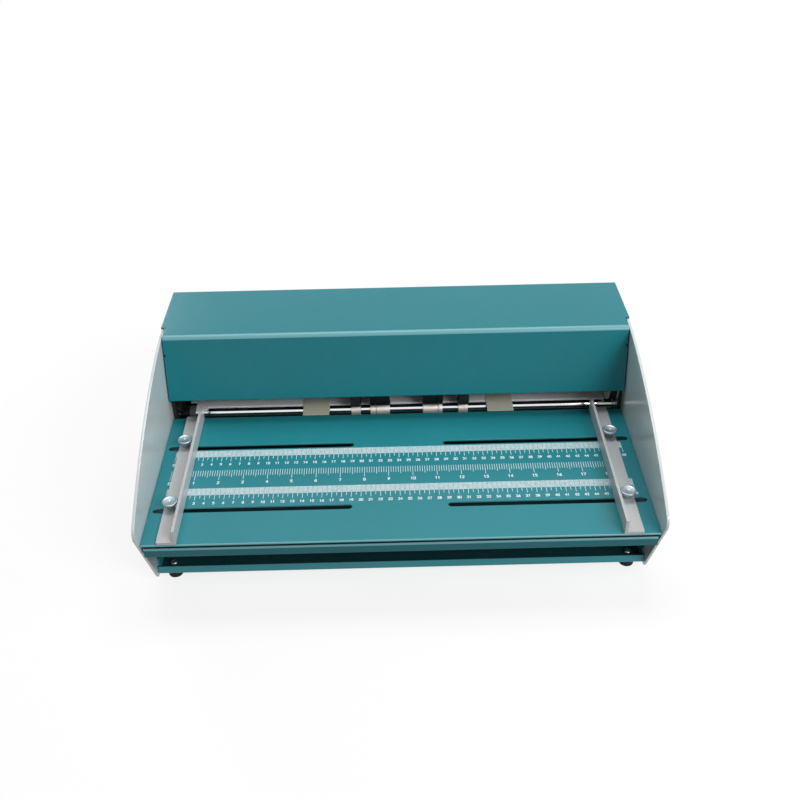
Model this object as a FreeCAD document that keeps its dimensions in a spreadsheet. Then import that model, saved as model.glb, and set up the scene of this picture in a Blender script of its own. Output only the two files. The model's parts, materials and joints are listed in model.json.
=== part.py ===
import FreeCAD, Part
import math
import os
import Sketcher

Vector = FreeCAD.Vector

# Electric desktop paper creasing machine, in millimetres.
# X runs along the shafts, Y from the feeding side to the back, Z up from the floor.
# The origin is the bottom centre of the whole machine.
# Heights named _above or _below are from the table's top face. Distances named
# _back are behind the table's front edge, _inset or _margin inside the casing,
# and _ahead or _behind in front of or behind the shafts.
SIZES = {
    # casing
    "overall_depth": 328.0,
    "nose_reach": 6.7,
    "body_width": 507.0,
    "side_sheet": 3.0,
    "side_bottom": 8.0,
    "nose_radius": 12.0,
    "nose_above": 15.1,
    "side_curve_radius": 594.0,
    "curve_end_ahead": 23.0,
    "curve_end_above": 97.5,
    "side_foot_back": 38.0,
    "corner_round": 3.0,
    "seat_gap": 0.3,
    "cut_past": 1.0,
    # feed table
    "table_top": 89.0,
    "table_gap": 21.0,
    "table_sheet": 2.0,
    "table_flange": 13.0,
    "table_edge_round": 1.4,
    "table_flange_inset": 18.0,
    "slot_width": 7.0,
    "slot_near": 48.5,
    "slot_margin": 3.7,
    "front_slot_depth": 50.5,
    "rear_slot_inset": 55.5,
    # rails under the table
    "rail_end_gap": 2.2,
    "rail_sheet": 1.5,
    "rail_gap": 2.9,
    "rail_face": 10.9,
    "rail_edge_round": 2.6,
    "rail_ledge": 13.5,
    "rail_flange": 14.0,
    "cross_rail_inset": 21.0,
    "cross_rail_height": 12.0,
    "cross_rail_depth": 12.0,
    # base
    "foot_height": 12.5,
    "foot_diameter": 16.0,
    "foot_inset": 14.5,
    "front_foot_back": 52.0,
    "rear_foot_inset": 31.3,
    "pan_sheet": 1.5,
    "pan_front_back": 38.0,
    "pan_lip": 10.2,
    "pan_side_lip": 16.0,
    "foot_screw_radius": 2.0,
    "foot_screw_head_radius": 4.0,
    "foot_screw_head_height": 3.0,
    # rear panel
    "panel_sheet": 1.5,
    "panel_inset": 4.3,
    "panel_flange": 14.0,
    # hood
    "hood_sheet": 1.5,
    "hood_ahead": 29.7,
    "hood_bottom_above": 29.2,
    "hood_lean": 13.1,
    "hood_rise": 73.6,
    "roof_fall": 1.7,
    "hood_bend_radius": 12.0,
    "hood_side_gap": 0.6,
    "hood_fold_round": 1.2,
    "hood_rear_bend_radius": 4.0,
    "hood_return": 8.0,
    "hood_rear_inset": 0.3,
    "exit_height": 14.0,
    "lip_start_behind": 7.5,
    "relief_height": 3.0,
    "relief_depth": 2.0,
    "relief_above": 80.0,
    # bearing plates and tie bars
    "bearing_plate_sheet": 4.0,
    "bearing_plate_ahead": 18.5,
    "bearing_plate_inset": 10.3,
    "bearing_plate_top": 88.0,
    "bearing_plate_shoulder": 30.0,
    "bearing_plate_setback": 20.0,
    "tie_bar_diameter": 12.0,
    "upper_tie_behind": 12.0,
    "upper_tie_above": 72.0,
    "lower_tie_behind": 18.0,
    "lower_tie_below": 45.0,
    "rear_screw_inset": 21.3,
    # shafts
    "shaft_inset": 93.3,
    "shaft_drop": 8.3,
    "shaft_diameter": 14.0,
    "journal_diameter": 12.0,
    "bearing_diameter": 18.0,
    "running_gap": 0.05,
    "end_play": 0.2,
    "gear_module": 1.5,
    "upper_teeth": 28.0,
    "lower_teeth": 12.0,
    "pressure_angle": 25.0,
    "backlash": 0.16,
    "gear_width": 5.0,
    "gear_side_gap": 0.3,
    "gear_hub_radius": 8.0,
    "gear_hub_length": 6.1,
    "spacer_radius": 8.5,
    "spacer_length": 6.8,
    # tools on the shafts
    "left_wheel_x": -19.8,
    "right_wheel_x": 40.5,
    "wheel_width": 22.4,
    "ring_radius": 9.0,
    "nip_gap": 0.15,
    "rib_offset": 6.0,
    "rib_width": 1.6,
    "groove_width": 3.2,
    "rib_engagement": 1.0,
    "rib_clearance": 0.3,
    "left_roller_x": -47.5,
    "right_roller_x": 75.4,
    "roller_width": 10.8,
    "roller_ring_radius": 8.0,
    "tyre_thickness": 3.0,
    "tool_chamfer": 0.8,
    "tool_recess": 1.2,
    # paper guide plate and bridges
    "guide_sheet": 1.0,
    "guide_plate_margin": 15.2,
    "window_ahead": 0.5,
    "tab_inset": 7.5,
    "tab_width": 13.1,
    "tab_ahead": 8.0,
    "tab_corner": 2.0,
    "guide_corner_behind": 9.0,
    "guide_wing_behind": 34.0,
    "guide_end_inset": 3.3,
    "ring_notch_behind": 7.0,
    "ring_notch_margin": 0.8,
    "guide_wing_flange": 10.0,
    "bridge_sheet": 0.8,
    "bridge_width": 30.0,
    "left_bridge_x": -92.5,
    "right_bridge_x": 117.0,
    "bridge_drop": 0.9,
    "bridge_table_gap": 0.8,
    "bridge_bend_ahead": 3.0,
    "bridge_bend_run": 2.0,
    "bridge_end_behind": 18.0,
    "bridge_slot_radius": 1.1,
    "bridge_slot_length": 4.6,
    "bridge_slot_offset": 5.5,
    "bridge_slot_behind": 8.0,
    # belt drive
    "pulley_radius": 18.0,
    "pulley_flange": 1.5,
    "pulley_teeth": 24.0,
    "motor_pulley_radius": 9.0,
    "motor_pulley_teeth": 12.0,
    "pulley_margin": 11.2,
    "pulley_width": 10.8,
    "flange_sheet": 1.2,
    "pulley_groove": 0.9,
    "belt_sheet": 1.3,
    "belt_gap": 0.1,
    "motor_inset": 39.3,
    "motor_above": 50.0,
    "motor_shaft_diameter": 8.0,
    "motor_shaft_depth": 24.0,
    "gearbox_size": 58.0,
    "gearbox_length": 34.0,
    "motor_diameter": 54.0,
    "motor_length": 74.0,
    "motor_cap_length": 10.0,
    "gearbox_boss_radius": 11.0,
    "bracket_sheet": 3.0,
    "bracket_margin": 17.2,
    "bracket_half": 30.0,
    "bracket_top": 86.0,
    "bracket_tab": 16.0,
    # capacitor
    "capacitor_x": 40.0,
    "capacitor_inset": 39.3,
    "capacitor_diameter": 36.0,
    "capacitor_height": 56.0,
    "capacitor_stud_radius": 4.0,
    "capacitor_nut_radius": 7.5,
    "capacitor_nut_height": 6.0,
    "capacitor_stud_tail": 1.0,
    # inlet and switch on the rear panel
    "inlet_margin": 103.5,
    "switch_spacing": 50.0,
    "socket_below": 42.0,
    "inlet_width": 27.0,
    "inlet_height": 20.0,
    "inlet_depth": 16.0,
    "inlet_rim": 3.0,
    "inlet_rim_thick": 2.0,
    "inlet_wall": 2.0,
    "inlet_pin_width": 4.0,
    "inlet_pin_thick": 2.0,
    "switch_width": 14.0,
    "switch_height": 22.0,
    "switch_depth": 14.0,
    "switch_rim": 1.8,
    "switch_rim_thick": 1.6,
    "switch_wall": 1.6,
    "rocker_tilt": 8.0,
    "rocker_gap": 0.4,
    "rocker_pivot_depth": 3.0,
    "rocker_pivot_radius": 1.2,
    # side guides
    "guide_rail_width": 19.5,
    "guide_rail_height": 17.0,
    "guide_rail_sheet": 3.0,
    "guide_rail_front": 0.2,
    "guide_rail_rear_gap": 1.5,
    "guide_rail_margin": 15.7,
    "right_guide_shift": 1.3,
    "thumb_inset": 7.2,
    "slide_gap": 0.2,
    "thumb_radius": 8.0,
    "thumb_height": 9.8,
    "thumb_rim": 2.0,
    "thumb_chamfer": 0.7,
    "thumb_collar_radius": 4.0,
    "thumb_collar_height": 2.2,
    "thumb_dish": 0.6,
    "thumb_lip": 0.9,
    "stud_radius": 2.5,
    "stud_clearance": 0.3,
    "clamp_nut_size": 13.0,
    "clamp_nut_height": 4.0,
    "stud_tail": 2.0,
    # screws in the side plates
    "side_screw_radius": 3.6,
    "side_screw_head": 2.2,
}


class Size:
    """A length, count or angle that keeps the spreadsheet formula it comes from."""

    def __init__(self, text, number):
        self.text = text
        self.number = number

    def __add__(self, other):
        other = as_size(other)
        return Size("(%s + %s)" % (self.text, other.text), self.number + other.number)

    def __radd__(self, other):
        return as_size(other) + self

    def __sub__(self, other):
        other = as_size(other)
        return Size("(%s - %s)" % (self.text, other.text), self.number - other.number)

    def __rsub__(self, other):
        return as_size(other) - self

    def __mul__(self, other):
        other = as_size(other)
        return Size("(%s * %s)" % (self.text, other.text), self.number * other.number)

    def __rmul__(self, other):
        return as_size(other) * self

    def __truediv__(self, other):
        other = as_size(other)
        return Size("(%s / %s)" % (self.text, other.text), self.number / other.number)

    def __neg__(self):
        return Size("(0 - %s)" % self.text, -self.number)


# Two spots nearer than this, in millimetres, count as one
SNAP = 0.001


def as_size(value):
    if isinstance(value, Size):
        return value
    return Size("%.6f" % value, float(value))


def tan_of(angle):
    """The tangent of an angle held in degrees."""
    return Size("tan(%s)" % angle.text, math.tan(math.radians(angle.number)))


class Places:
    """Named sizes as attributes, one for each cell of the spreadsheet."""

    def __init__(self, sheet, sizes):
        for row, (alias, number) in enumerate(sizes.items(), start=1):
            cell = "B%d" % row
            sheet.set("A%d" % row, alias)
            sheet.set(cell, repr(number))
            sheet.setAlias(cell, alias)
            setattr(self, alias, Size("%s.%s" % (sheet.Name, alias), number))


doc = FreeCAD.newDocument("CreasingMachine")
sheet = doc.addObject("Spreadsheet::Sheet", "Sizes")
s = Places(sheet, SIZES)
doc.recompute()

# Places worked out once from the driving sizes
front = s.nose_reach - s.overall_depth / 2
rear = s.overall_depth / 2
top = s.table_top
inner = s.body_width / 2
side_outer = inner + s.side_sheet
casing_half = inner - s.seat_gap
shaft_y = rear - s.shaft_inset
lower_z = top - s.shaft_drop
axis_gap = s.gear_module * (s.upper_teeth + s.lower_teeth) / 2
upper_z = lower_z + axis_gap
shaft_radius = s.shaft_diameter / 2
journal_radius = s.journal_diameter / 2 - s.running_gap
plate_face = casing_half - s.bearing_plate_sheet
plate_front = shaft_y - s.bearing_plate_ahead
plate_rear = rear - s.bearing_plate_inset
shoulder = plate_face - s.end_play
gear_outer = shoulder - s.end_play / 2
pan_bottom = s.foot_height
pan_floor = pan_bottom + s.pan_sheet
hood_half = casing_half - s.hood_side_gap
hood_front = shaft_y - s.hood_ahead
hood_corner_above = s.hood_bottom_above + s.hood_rise
hood_rear = rear - s.hood_rear_inset
panel_y = rear - s.panel_inset
motor_y = rear - s.motor_inset
motor_z = top + s.motor_above
wheel_radius = axis_gap - s.ring_radius - s.nip_gap
roller_radius = axis_gap - s.roller_ring_radius - s.nip_gap
table_rear = shaft_y - s.table_gap
front_slot_y = front + s.front_slot_depth
rear_slot_y = table_rear - s.rear_slot_inset
cross_rail_y = table_rear - s.cross_rail_inset
rail_half = casing_half - s.rail_end_gap
foot_x = inner - s.foot_inset
front_foot_y = front + s.front_foot_back
rear_foot_y = rear - s.rear_foot_inset
pulley_x = plate_face - s.pulley_margin
bracket_x = plate_face - s.bracket_margin
inlet_x = s.inlet_margin - inner
switch_x = inlet_x + s.switch_spacing
capacitor_y = rear - s.capacitor_inset
guide_edge = casing_half - s.guide_rail_margin
guide_edges = {-1: guide_edge * -1, 1: guide_edge - s.right_guide_shift}
thumb_spots = {side: guide_edges[side] - s.thumb_inset * side for side in (-1, 1)}
past = s.cut_past


def back(distance):
    """Y of a place given by its distance behind the table's front edge."""
    return front + distance


def above(height):
    """Z of a place given by its height above the table's top face."""
    return top + height


def roof_height(place_y):
    """Z of the hood's roof, which falls gently to the back, at a given Y."""
    run = place_y - hood_front - s.hood_rise * tan_of(s.hood_lean)
    return above(hood_corner_above) - run * tan_of(s.roof_fall)


# Drawing helpers


def new_body(label):
    body = doc.addObject("PartDesign::Body", label)
    body.Label = label
    return body


def origin_item(body, role):
    for item in body.Origin.OriginFeatures:
        if item.Role == role:
            return item
    raise ValueError(role)


def new_sketch(body, role, offset):
    """A sketch on one of the body's origin planes, moved along its normal."""
    sketch = body.newObject("Sketcher::SketchObject", body.Name + "_sketch")
    sketch.AttachmentSupport = [(origin_item(body, role), "")]
    sketch.MapMode = "FlatFace"
    sketch.setExpression("AttachmentOffset.Base.z", as_size(offset).text)
    return sketch


def hold(sketch, kind, *args):
    """Add a dimension to a sketch and bind it to a formula."""
    size = as_size(args[-1])
    index = sketch.addConstraint(Sketcher.Constraint(kind, *args[:-1], size.number))
    sketch.setExpression("Constraints[%d]" % index, size.text)


def pin_point(sketch, edge, end, place):
    """Hold one end of an edge at a place measured from the sketch's origin."""
    hold(sketch, "DistanceX", -1, 1, edge, end, place[0])
    hold(sketch, "DistanceY", -1, 1, edge, end, place[1])


def point(place):
    return Vector(as_size(place[0]).number, as_size(place[1]).number, 0)


def outline(sketch, corners):
    """A closed outline of straight edges with every corner held."""
    count = len(corners)
    first = None
    for number in range(count):
        start = point(corners[number])
        end = point(corners[(number + 1) % count])
        edge = sketch.addGeometry(Part.LineSegment(start, end), False)
        if first is None:
            first = edge
        pin_point(sketch, edge, 1, corners[number])
    for number in range(count):
        following = first + (number + 1) % count
        sketch.addConstraint(Sketcher.Constraint("Coincident", first + number, 2, following, 1))


def box_outline(low_u, low_v, high_u, high_v):
    return [(low_u, low_v), (high_u, low_v), (high_u, high_v), (low_u, high_v)]


def circle(sketch, place, radius):
    radius = as_size(radius)
    ring = Part.Circle(point(place), Vector(0, 0, 1), radius.number)
    edge = sketch.addGeometry(ring, False)
    pin_point(sketch, edge, 3, place)
    hold(sketch, "Radius", edge, radius)


def slot(sketch, start, end, radius, upright=False):
    """A slot with round ends, whose end centres lie at start and end."""
    reach = as_size(radius).number
    low = point(start)
    high = point(end)
    side = Vector(-reach, 0, 0) if upright else Vector(0, reach, 0)
    turn = math.pi / 2 if upright else 0
    quarter = math.pi / 2
    first = sketch.addGeometry(Part.LineSegment(low + side, high + side), False)
    far_ring = Part.Circle(high, Vector(0, 0, 1), reach)
    far = sketch.addGeometry(Part.ArcOfCircle(far_ring, turn - quarter, turn + quarter), False)
    second = sketch.addGeometry(Part.LineSegment(high - side, low - side), False)
    near_ring = Part.Circle(low, Vector(0, 0, 1), reach)
    near = sketch.addGeometry(
        Part.ArcOfCircle(near_ring, turn + quarter, turn + 3 * quarter), False)
    joins = [(first, 2, far, 2), (far, 1, second, 1), (second, 2, near, 2), (near, 1, first, 1)]
    for one, one_end, other, other_end in joins:
        sketch.addConstraint(Sketcher.Constraint("Tangent", one, one_end, other, other_end))
    pin_point(sketch, far, 3, end)
    pin_point(sketch, near, 3, start)
    hold(sketch, "Radius", far, radius)


def offset_corner(before, corner, after, thickness):
    """The point where two neighbouring edges meet once both move to their right."""
    into = corner - before
    out = after - corner
    into.normalize()
    out.normalize()
    right_in = Vector(into.y, -into.x, 0)
    right_out = Vector(out.y, -out.x, 0)
    share = thickness / (1 + right_in.dot(right_out))
    return corner + (right_in + right_out) * share


def bent_sheet(sketch, path, thickness):
    """The section of a folded sheet: a path of faces, and its copy on the right."""
    sheet_size = as_size(thickness)
    outer = [point(place) for place in path]
    count = len(outer)
    before = [outer[0] * 2 - outer[1]] + outer[:-1]
    after = outer[1:] + [outer[-1] * 2 - outer[-2]]
    inner_side = [
        offset_corner(before[i], outer[i], after[i], sheet_size.number) for i in range(count)
    ]
    faces = []
    for i in range(count - 1):
        edge = sketch.addGeometry(Part.LineSegment(outer[i], outer[i + 1]), False)
        pin_point(sketch, edge, 1, path[i])
        faces.append(edge)
    pin_point(sketch, faces[-1], 2, path[-1])
    copies = []
    for i in range(count - 1):
        edge = sketch.addGeometry(Part.LineSegment(inner_side[i], inner_side[i + 1]), False)
        copies.append(edge)
    start_cap = sketch.addGeometry(Part.LineSegment(outer[0], inner_side[0]), False)
    end_cap = sketch.addGeometry(Part.LineSegment(outer[-1], inner_side[-1]), False)
    rule = sketch.addConstraint
    for i in range(count - 2):
        rule(Sketcher.Constraint("Coincident", faces[i], 2, faces[i + 1], 1))
        rule(Sketcher.Constraint("Coincident", copies[i], 2, copies[i + 1], 1))
    rule(Sketcher.Constraint("Coincident", faces[0], 1, start_cap, 1))
    rule(Sketcher.Constraint("Coincident", copies[0], 1, start_cap, 2))
    rule(Sketcher.Constraint("Coincident", faces[-1], 2, end_cap, 1))
    rule(Sketcher.Constraint("Coincident", copies[-1], 2, end_cap, 2))
    rule(Sketcher.Constraint("Perpendicular", start_cap, faces[0]))
    rule(Sketcher.Constraint("Perpendicular", end_cap, faces[-1]))
    for face, copy in zip(faces, copies):
        rule(Sketcher.Constraint("Parallel", face, copy))
        hold(sketch, "Distance", copy, 1, face, sheet_size)


def settled(feature):
    doc.recompute()
    if "Invalid" in feature.State or feature.Shape.isNull():
        raise RuntimeError("feature failed: " + feature.Name)
    return feature


def pad(body, role, low, high, draw):
    """Add material between two coordinates along the normal of a plane."""
    low = as_size(low)
    high = as_size(high)
    away = role == "XZ_Plane"
    sketch = new_sketch(body, role, -high if away else low)
    draw(sketch)
    feature = body.newObject("PartDesign::Pad", body.Name + "_pad")
    feature.Profile = sketch
    feature.setExpression("Length", (high - low).text)
    return settled(feature)


def pocket(body, role, low, high, draw):
    """Cut between two coordinates, and check that something was cut."""
    low = as_size(low)
    high = as_size(high)
    volume = body.Shape.Volume
    away = role == "XZ_Plane"
    sketch = new_sketch(body, role, -low if away else high)
    draw(sketch)
    feature = body.newObject("PartDesign::Pocket", body.Name + "_pocket")
    feature.Profile = sketch
    feature.setExpression("Length", (high - low).text)
    settled(feature)
    if body.Shape.Volume > volume - SNAP:
        raise RuntimeError("pocket cut nothing: " + feature.Name)
    return feature


def revolve(body, role, axis, draw):
    sketch = new_sketch(body, role, 0)
    draw(sketch)
    feature = body.newObject("PartDesign::Revolution", body.Name + "_turn")
    feature.Profile = sketch
    feature.ReferenceAxis = (sketch, [axis])
    feature.Angle = 360
    return settled(feature)


AXES = {"X": Vector(1, 0, 0), "Y": Vector(0, 1, 0), "Z": Vector(0, 0, 1)}


def edges_along(shape, axis, spots):
    """Names of the straight edges that run along an axis through the given spots."""
    direction = AXES[axis]
    keep = [i for i in range(3) if "XYZ"[i] != axis]
    names = []
    for number, edge in enumerate(shape.Edges, start=1):
        if edge.Curve.TypeId != "Part::GeomLine":
            continue
        start = edge.Vertexes[0].Point
        run = edge.Vertexes[-1].Point - start
        if run.Length < SNAP or abs(abs(run.dot(direction)) - run.Length) > SNAP / 1000:
            continue
        for spot in spots:
            place = [as_size(value).number for value in spot]
            if abs(start[keep[0]] - place[0]) + abs(start[keep[1]] - place[1]) < SNAP:
                names.append("Edge%d" % number)
                break
    return names


def dress(body, kind, axis, spots, size, property_name):
    doc.recompute()
    base = body.Tip
    names = edges_along(base.Shape, axis, spots)
    if not names:
        raise RuntimeError("no edge found on " + body.Label)
    feature = body.newObject(kind, body.Name + "_edge")
    feature.Base = (base, names)
    feature.setExpression(property_name, as_size(size).text)
    return settled(feature)


def round_edges(body, axis, spots, radius):
    return dress(body, "PartDesign::Fillet", axis, spots, radius, "Radius")


def place(item, x, y, z):
    for name, value in (("x", x), ("y", y), ("z", z)):
        item.setExpression("Placement.Base." + name, as_size(value).text)
    doc.recompute()
    return item


def turned(label, x, y, z, profile):
    """A part turned about a line along X: its profile is (x, radius) corners."""
    body = new_body(label)
    revolve(body, "XY_Plane", "H_Axis", lambda sketch: outline(sketch, profile))
    return place(body, x, y, z)


def shaped(label, shape):
    """A sub-part whose shape has no simpler feature, read from the sizes."""
    item = doc.addObject("Part::Feature", label)
    item.Label = label
    item.Shape = shape
    return item


# Casing


def side_plate(label, side):
    """Flat plate with a round nose, a long convex top edge and a cut-back front foot."""
    low = inner if side > 0 else -side_outer
    body = new_body(label)

    def draw(sketch):
        nose_centre = (back(s.nose_radius - s.nose_reach), above(s.nose_above))
        curve_end = (shaft_y - s.curve_end_ahead, above(s.curve_end_above))
        roof_front = shaft_y + s.lip_start_behind
        under_roof = s.hood_sheet + s.seat_gap
        corners = [
            curve_end,
            (roof_front, roof_height(roof_front) - under_roof),
            (rear, roof_height(rear) - under_roof),
            (rear, s.side_bottom),
            (back(s.side_foot_back), s.side_bottom),
        ]
        chain = []
        for start, end in zip(corners, corners[1:]):
            chain.append(sketch.addGeometry(Part.LineSegment(point(start), point(end)), False))
        for edge, corner in zip(chain, corners):
            pin_point(sketch, edge, 1, corner)
        pin_point(sketch, chain[-1], 2, corners[-1])
        for edge, following in zip(chain, chain[1:]):
            sketch.addConstraint(Sketcher.Constraint("Coincident", edge, 2, following, 1))
        nose_curve(sketch, nose_centre, curve_end, corners[-1], chain)

    pad(body, "YZ_Plane", low, low + s.side_sheet, draw)
    foot_corner = (back(s.side_foot_back), s.side_bottom)
    rear_corner = (rear, s.side_bottom)
    round_edges(body, "X", [foot_corner, rear_corner], s.corner_round)
    return body


def nose_curve(sketch, nose_centre, curve_end, foot, chain):
    """The nose arc, tangent to the long top curve and to the front foot's line."""
    centre = point(nose_centre)
    end = point(curve_end)
    low = point(foot)
    small = s.nose_radius.number
    large = s.side_curve_radius.number
    span = end - centre
    along = ((large - small) ** 2 - large ** 2 + span.Length ** 2) / (2 * span.Length)
    across = math.sqrt((large - small) ** 2 - along ** 2)
    unit = Vector(span).normalize()
    hub = centre + unit * along + Vector(unit.y, -unit.x, 0) * across
    outward = (centre - hub).normalize()
    meet = centre + outward * small
    reach = low - centre
    swing = math.acos(small / reach.Length)
    heading = math.atan2(reach.y, reach.x) - swing
    touch = centre + Vector(math.cos(heading), math.sin(heading), 0) * small
    top_arc = Part.ArcOfCircle(Part.Circle(hub, Vector(0, 0, 1), large),
                               angle_of(end - hub), angle_of(meet - hub))
    nose_arc = Part.ArcOfCircle(Part.Circle(centre, Vector(0, 0, 1), small),
                                angle_of(meet - centre), turn_after(meet, touch, centre))
    top_edge = sketch.addGeometry(top_arc, False)
    nose_edge = sketch.addGeometry(nose_arc, False)
    foot_edge = sketch.addGeometry(Part.LineSegment(touch, low), False)
    rule = sketch.addConstraint
    rule(Sketcher.Constraint("Coincident", top_edge, 1, chain[0], 1))
    rule(Sketcher.Constraint("Coincident", foot_edge, 2, chain[-1], 2))
    rule(Sketcher.Constraint("Tangent", top_edge, 2, nose_edge, 1))
    rule(Sketcher.Constraint("Tangent", nose_edge, 2, foot_edge, 1))
    pin_point(sketch, nose_edge, 3, nose_centre)
    hold(sketch, "Radius", nose_edge, s.nose_radius)
    hold(sketch, "Radius", top_edge, s.side_curve_radius)


def angle_of(direction):
    return math.atan2(direction.y, direction.x)


def turn_after(start, end, centre):
    """The angle of end about centre, counted on anticlockwise past start."""
    first = angle_of(start - centre)
    last = angle_of(end - centre)
    while last < first:
        last += 2 * math.pi
    return last


def base_pan():
    """Folded floor tray with a low front lip that shows between the side plates."""
    body = new_body("base_pan")
    lip_top = pan_bottom + s.pan_lip
    path = [
        (back(s.pan_front_back), lip_top),
        (back(s.pan_front_back), pan_bottom),
        (panel_y - s.panel_sheet, pan_bottom),
        (panel_y - s.panel_sheet, pan_bottom + s.pan_side_lip),
    ]
    path.reverse()
    pad(body, "YZ_Plane", -casing_half, casing_half,
        lambda sketch: bent_sheet(sketch, path, s.pan_sheet))
    bends = [(back(s.pan_front_back), pan_bottom),
             (panel_y - s.panel_sheet, pan_bottom)]
    for side in (-1, 1):
        wall = casing_half - s.pan_sheet
        low = wall if side > 0 else -casing_half
        section = box_outline(back(s.pan_front_back) + s.pan_sheet * 3, pan_floor,
                              cross_rail_y, pan_floor + s.pan_side_lip)
        pad(body, "YZ_Plane", low, low + s.pan_sheet, lambda sketch: outline(sketch, section))
    round_edges(body, "X", bends, s.pan_sheet)
    holes = [(x, y) for x in (-foot_x, foot_x) for y in (front_foot_y, rear_foot_y)]

    def draw(sketch):
        for hole in holes:
            circle(sketch, hole, s.foot_screw_radius + s.seat_gap / 3)
        stud = (s.capacitor_x, capacitor_y)
        circle(sketch, stud, s.capacitor_stud_radius + s.seat_gap / 3)

    pocket(body, "XY_Plane", pan_bottom - past, pan_floor + past, draw)
    return body


def rear_panel():
    """Upright back wall under the paper exit, with a flange that carries the guide plate."""
    body = new_body("rear_panel")
    face = panel_y
    rest = above(-s.guide_sheet)
    path = [(face - s.panel_flange, rest), (face, rest), (face, pan_floor)]
    pad(body, "YZ_Plane", -casing_half, casing_half,
        lambda sketch: bent_sheet(sketch, path, s.panel_sheet))
    height = above(-s.socket_below)
    cuts = [(inlet_x, s.inlet_width, s.inlet_height),
            (switch_x, s.switch_width, s.switch_height)]

    def draw(sketch):
        for x, width, tall in cuts:
            outline(sketch, box_outline(x - width / 2, height - tall / 2,
                                        x + width / 2, height + tall / 2))

    pocket(body, "XZ_Plane", face - s.panel_sheet - past, face + past, draw)
    notch_y = plate_rear + s.seat_gap
    notch_x = plate_face - s.seat_gap
    front_y = face - s.panel_flange - past

    def notch(sketch):
        outline(sketch, box_outline(notch_x, front_y, casing_half + past, notch_y))
        outline(sketch, box_outline(-casing_half - past, front_y, -notch_x, notch_y))

    pocket(body, "XY_Plane", rest - s.panel_sheet - past, rest + past, notch)
    return body


def leaning_face(z):
    """Y of the hood's leaning front face at a given Z."""
    return hood_front + (z - above(s.hood_bottom_above)) * tan_of(s.hood_lean)


def hood():
    """Folded cover: leaning front with side folds, round bend, roof over the side plates."""
    body = new_body("hood")
    front_bottom = (hood_front, above(s.hood_bottom_above))
    front_top = (leaning_face(above(hood_corner_above)), above(hood_corner_above))
    rear_top = (hood_rear, roof_height(hood_rear))
    rear_bottom = (hood_rear, above(s.exit_height))
    path = [
        (front_bottom[0] + s.hood_return, front_bottom[1]),
        front_bottom,
        front_top,
        rear_top,
        rear_bottom,
        (rear_bottom[0] - s.hood_return, rear_bottom[1]),
    ]
    pad(body, "YZ_Plane", -hood_half, hood_half,
        lambda sketch: bent_sheet(sketch, path, s.hood_sheet))
    lip_front = shaft_y + s.lip_start_behind
    section = [
        (lip_front, roof_height(lip_front)),
        (hood_rear, roof_height(hood_rear)),
        (hood_rear, roof_height(hood_rear) - s.hood_sheet),
        (lip_front, roof_height(lip_front) - s.hood_sheet),
    ]
    for low, high in ((-side_outer, -hood_half), (hood_half, side_outer)):
        pad(body, "YZ_Plane", low, high, lambda sketch: outline(sketch, section))
    hood_side_folds(body, front_top, lip_front)
    round_edges(body, "X", [front_top], s.hood_bend_radius)
    round_hidden_bend(body)
    round_edges(body, "X", [rear_top], s.hood_rear_bend_radius)
    round_edges(body, "X", [rear_bottom], s.hood_sheet)
    round_front_ends(body)
    return body


def hood_side_folds(body, front_top, lip_front):
    """Sides folded back from the front, in two lengths with a relief cut between them."""
    fold = s.hood_return
    bottom = above(s.hood_bottom_above)
    relief_low = above(s.relief_above)
    relief_high = relief_low + s.relief_height
    lower = [
        (leaning_face(bottom), bottom),
        (leaning_face(relief_low), relief_low),
        (leaning_face(relief_low) + fold, relief_low),
        (leaning_face(bottom) + fold, bottom),
    ]
    upper = [
        (leaning_face(relief_high), relief_high),
        front_top,
        (lip_front, roof_height(lip_front)),
        (lip_front, roof_height(lip_front) - fold),
        (leaning_face(relief_high) + fold, relief_high),
    ]
    for low in (-hood_half, hood_half - s.hood_sheet):
        for section in (lower, upper):
            pad(body, "YZ_Plane", low, low + s.hood_sheet,
                lambda sketch: outline(sketch, section))

    def draw(sketch):
        reach = hood_half - s.relief_depth
        outline(sketch, box_outline(reach, relief_low, hood_half + past, relief_high))
        outline(sketch, box_outline(-hood_half - past, relief_low, -reach, relief_high))

    pocket(body, "XZ_Plane", hood_front, lip_front, draw)


def round_front_ends(body):
    """Round the folds down both ends of the leaning front, and the one along its foot."""
    doc.recompute()
    base = body.Tip
    foot = above(s.hood_bottom_above).number
    names = []
    for count, edge in enumerate(base.Shape.Edges, start=1):
        start = edge.Vertexes[0].Point
        end = edge.Vertexes[-1].Point
        ahead = all(abs(spot.y - leaning_face(as_size(spot.z)).number) < SNAP
                    for spot in (start, end))
        down_end = abs(start.x - end.x) < SNAP and abs(abs(start.x) - hood_half.number) < SNAP
        along_foot = abs(start.z - foot) + abs(end.z - foot) < SNAP
        if ahead and (down_end or along_foot) and edge.Length > s.hood_sheet.number:
            names.append("Edge%d" % count)
    if len(names) != 5:
        raise RuntimeError("hood folds not found")
    feature = body.newObject("PartDesign::Fillet", body.Name + "_folds")
    feature.Base = (base, names)
    feature.setExpression("Radius", s.hood_fold_round.text)
    return settled(feature)


def round_hidden_bend(body):
    """The inside of the hood's front bend follows the outside at the sheet's thickness."""
    doc.recompute()
    lean = math.radians(s.hood_lean.number)
    fall = math.radians(s.roof_fall.number)
    sheet_number = s.hood_sheet.number
    into = Vector(0, math.cos(lean), -math.sin(lean))
    down = Vector(0, -math.sin(fall), -math.cos(fall))
    share = sheet_number / (1 + into.dot(down))
    spot = (into + down) * share
    y = hood_front + s.hood_rise * tan_of(s.hood_lean) + spot.y
    z = above(hood_corner_above) + spot.z
    round_edges(body, "X", [(y, z)], s.hood_bend_radius - s.hood_sheet)


# Table and rails


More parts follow.
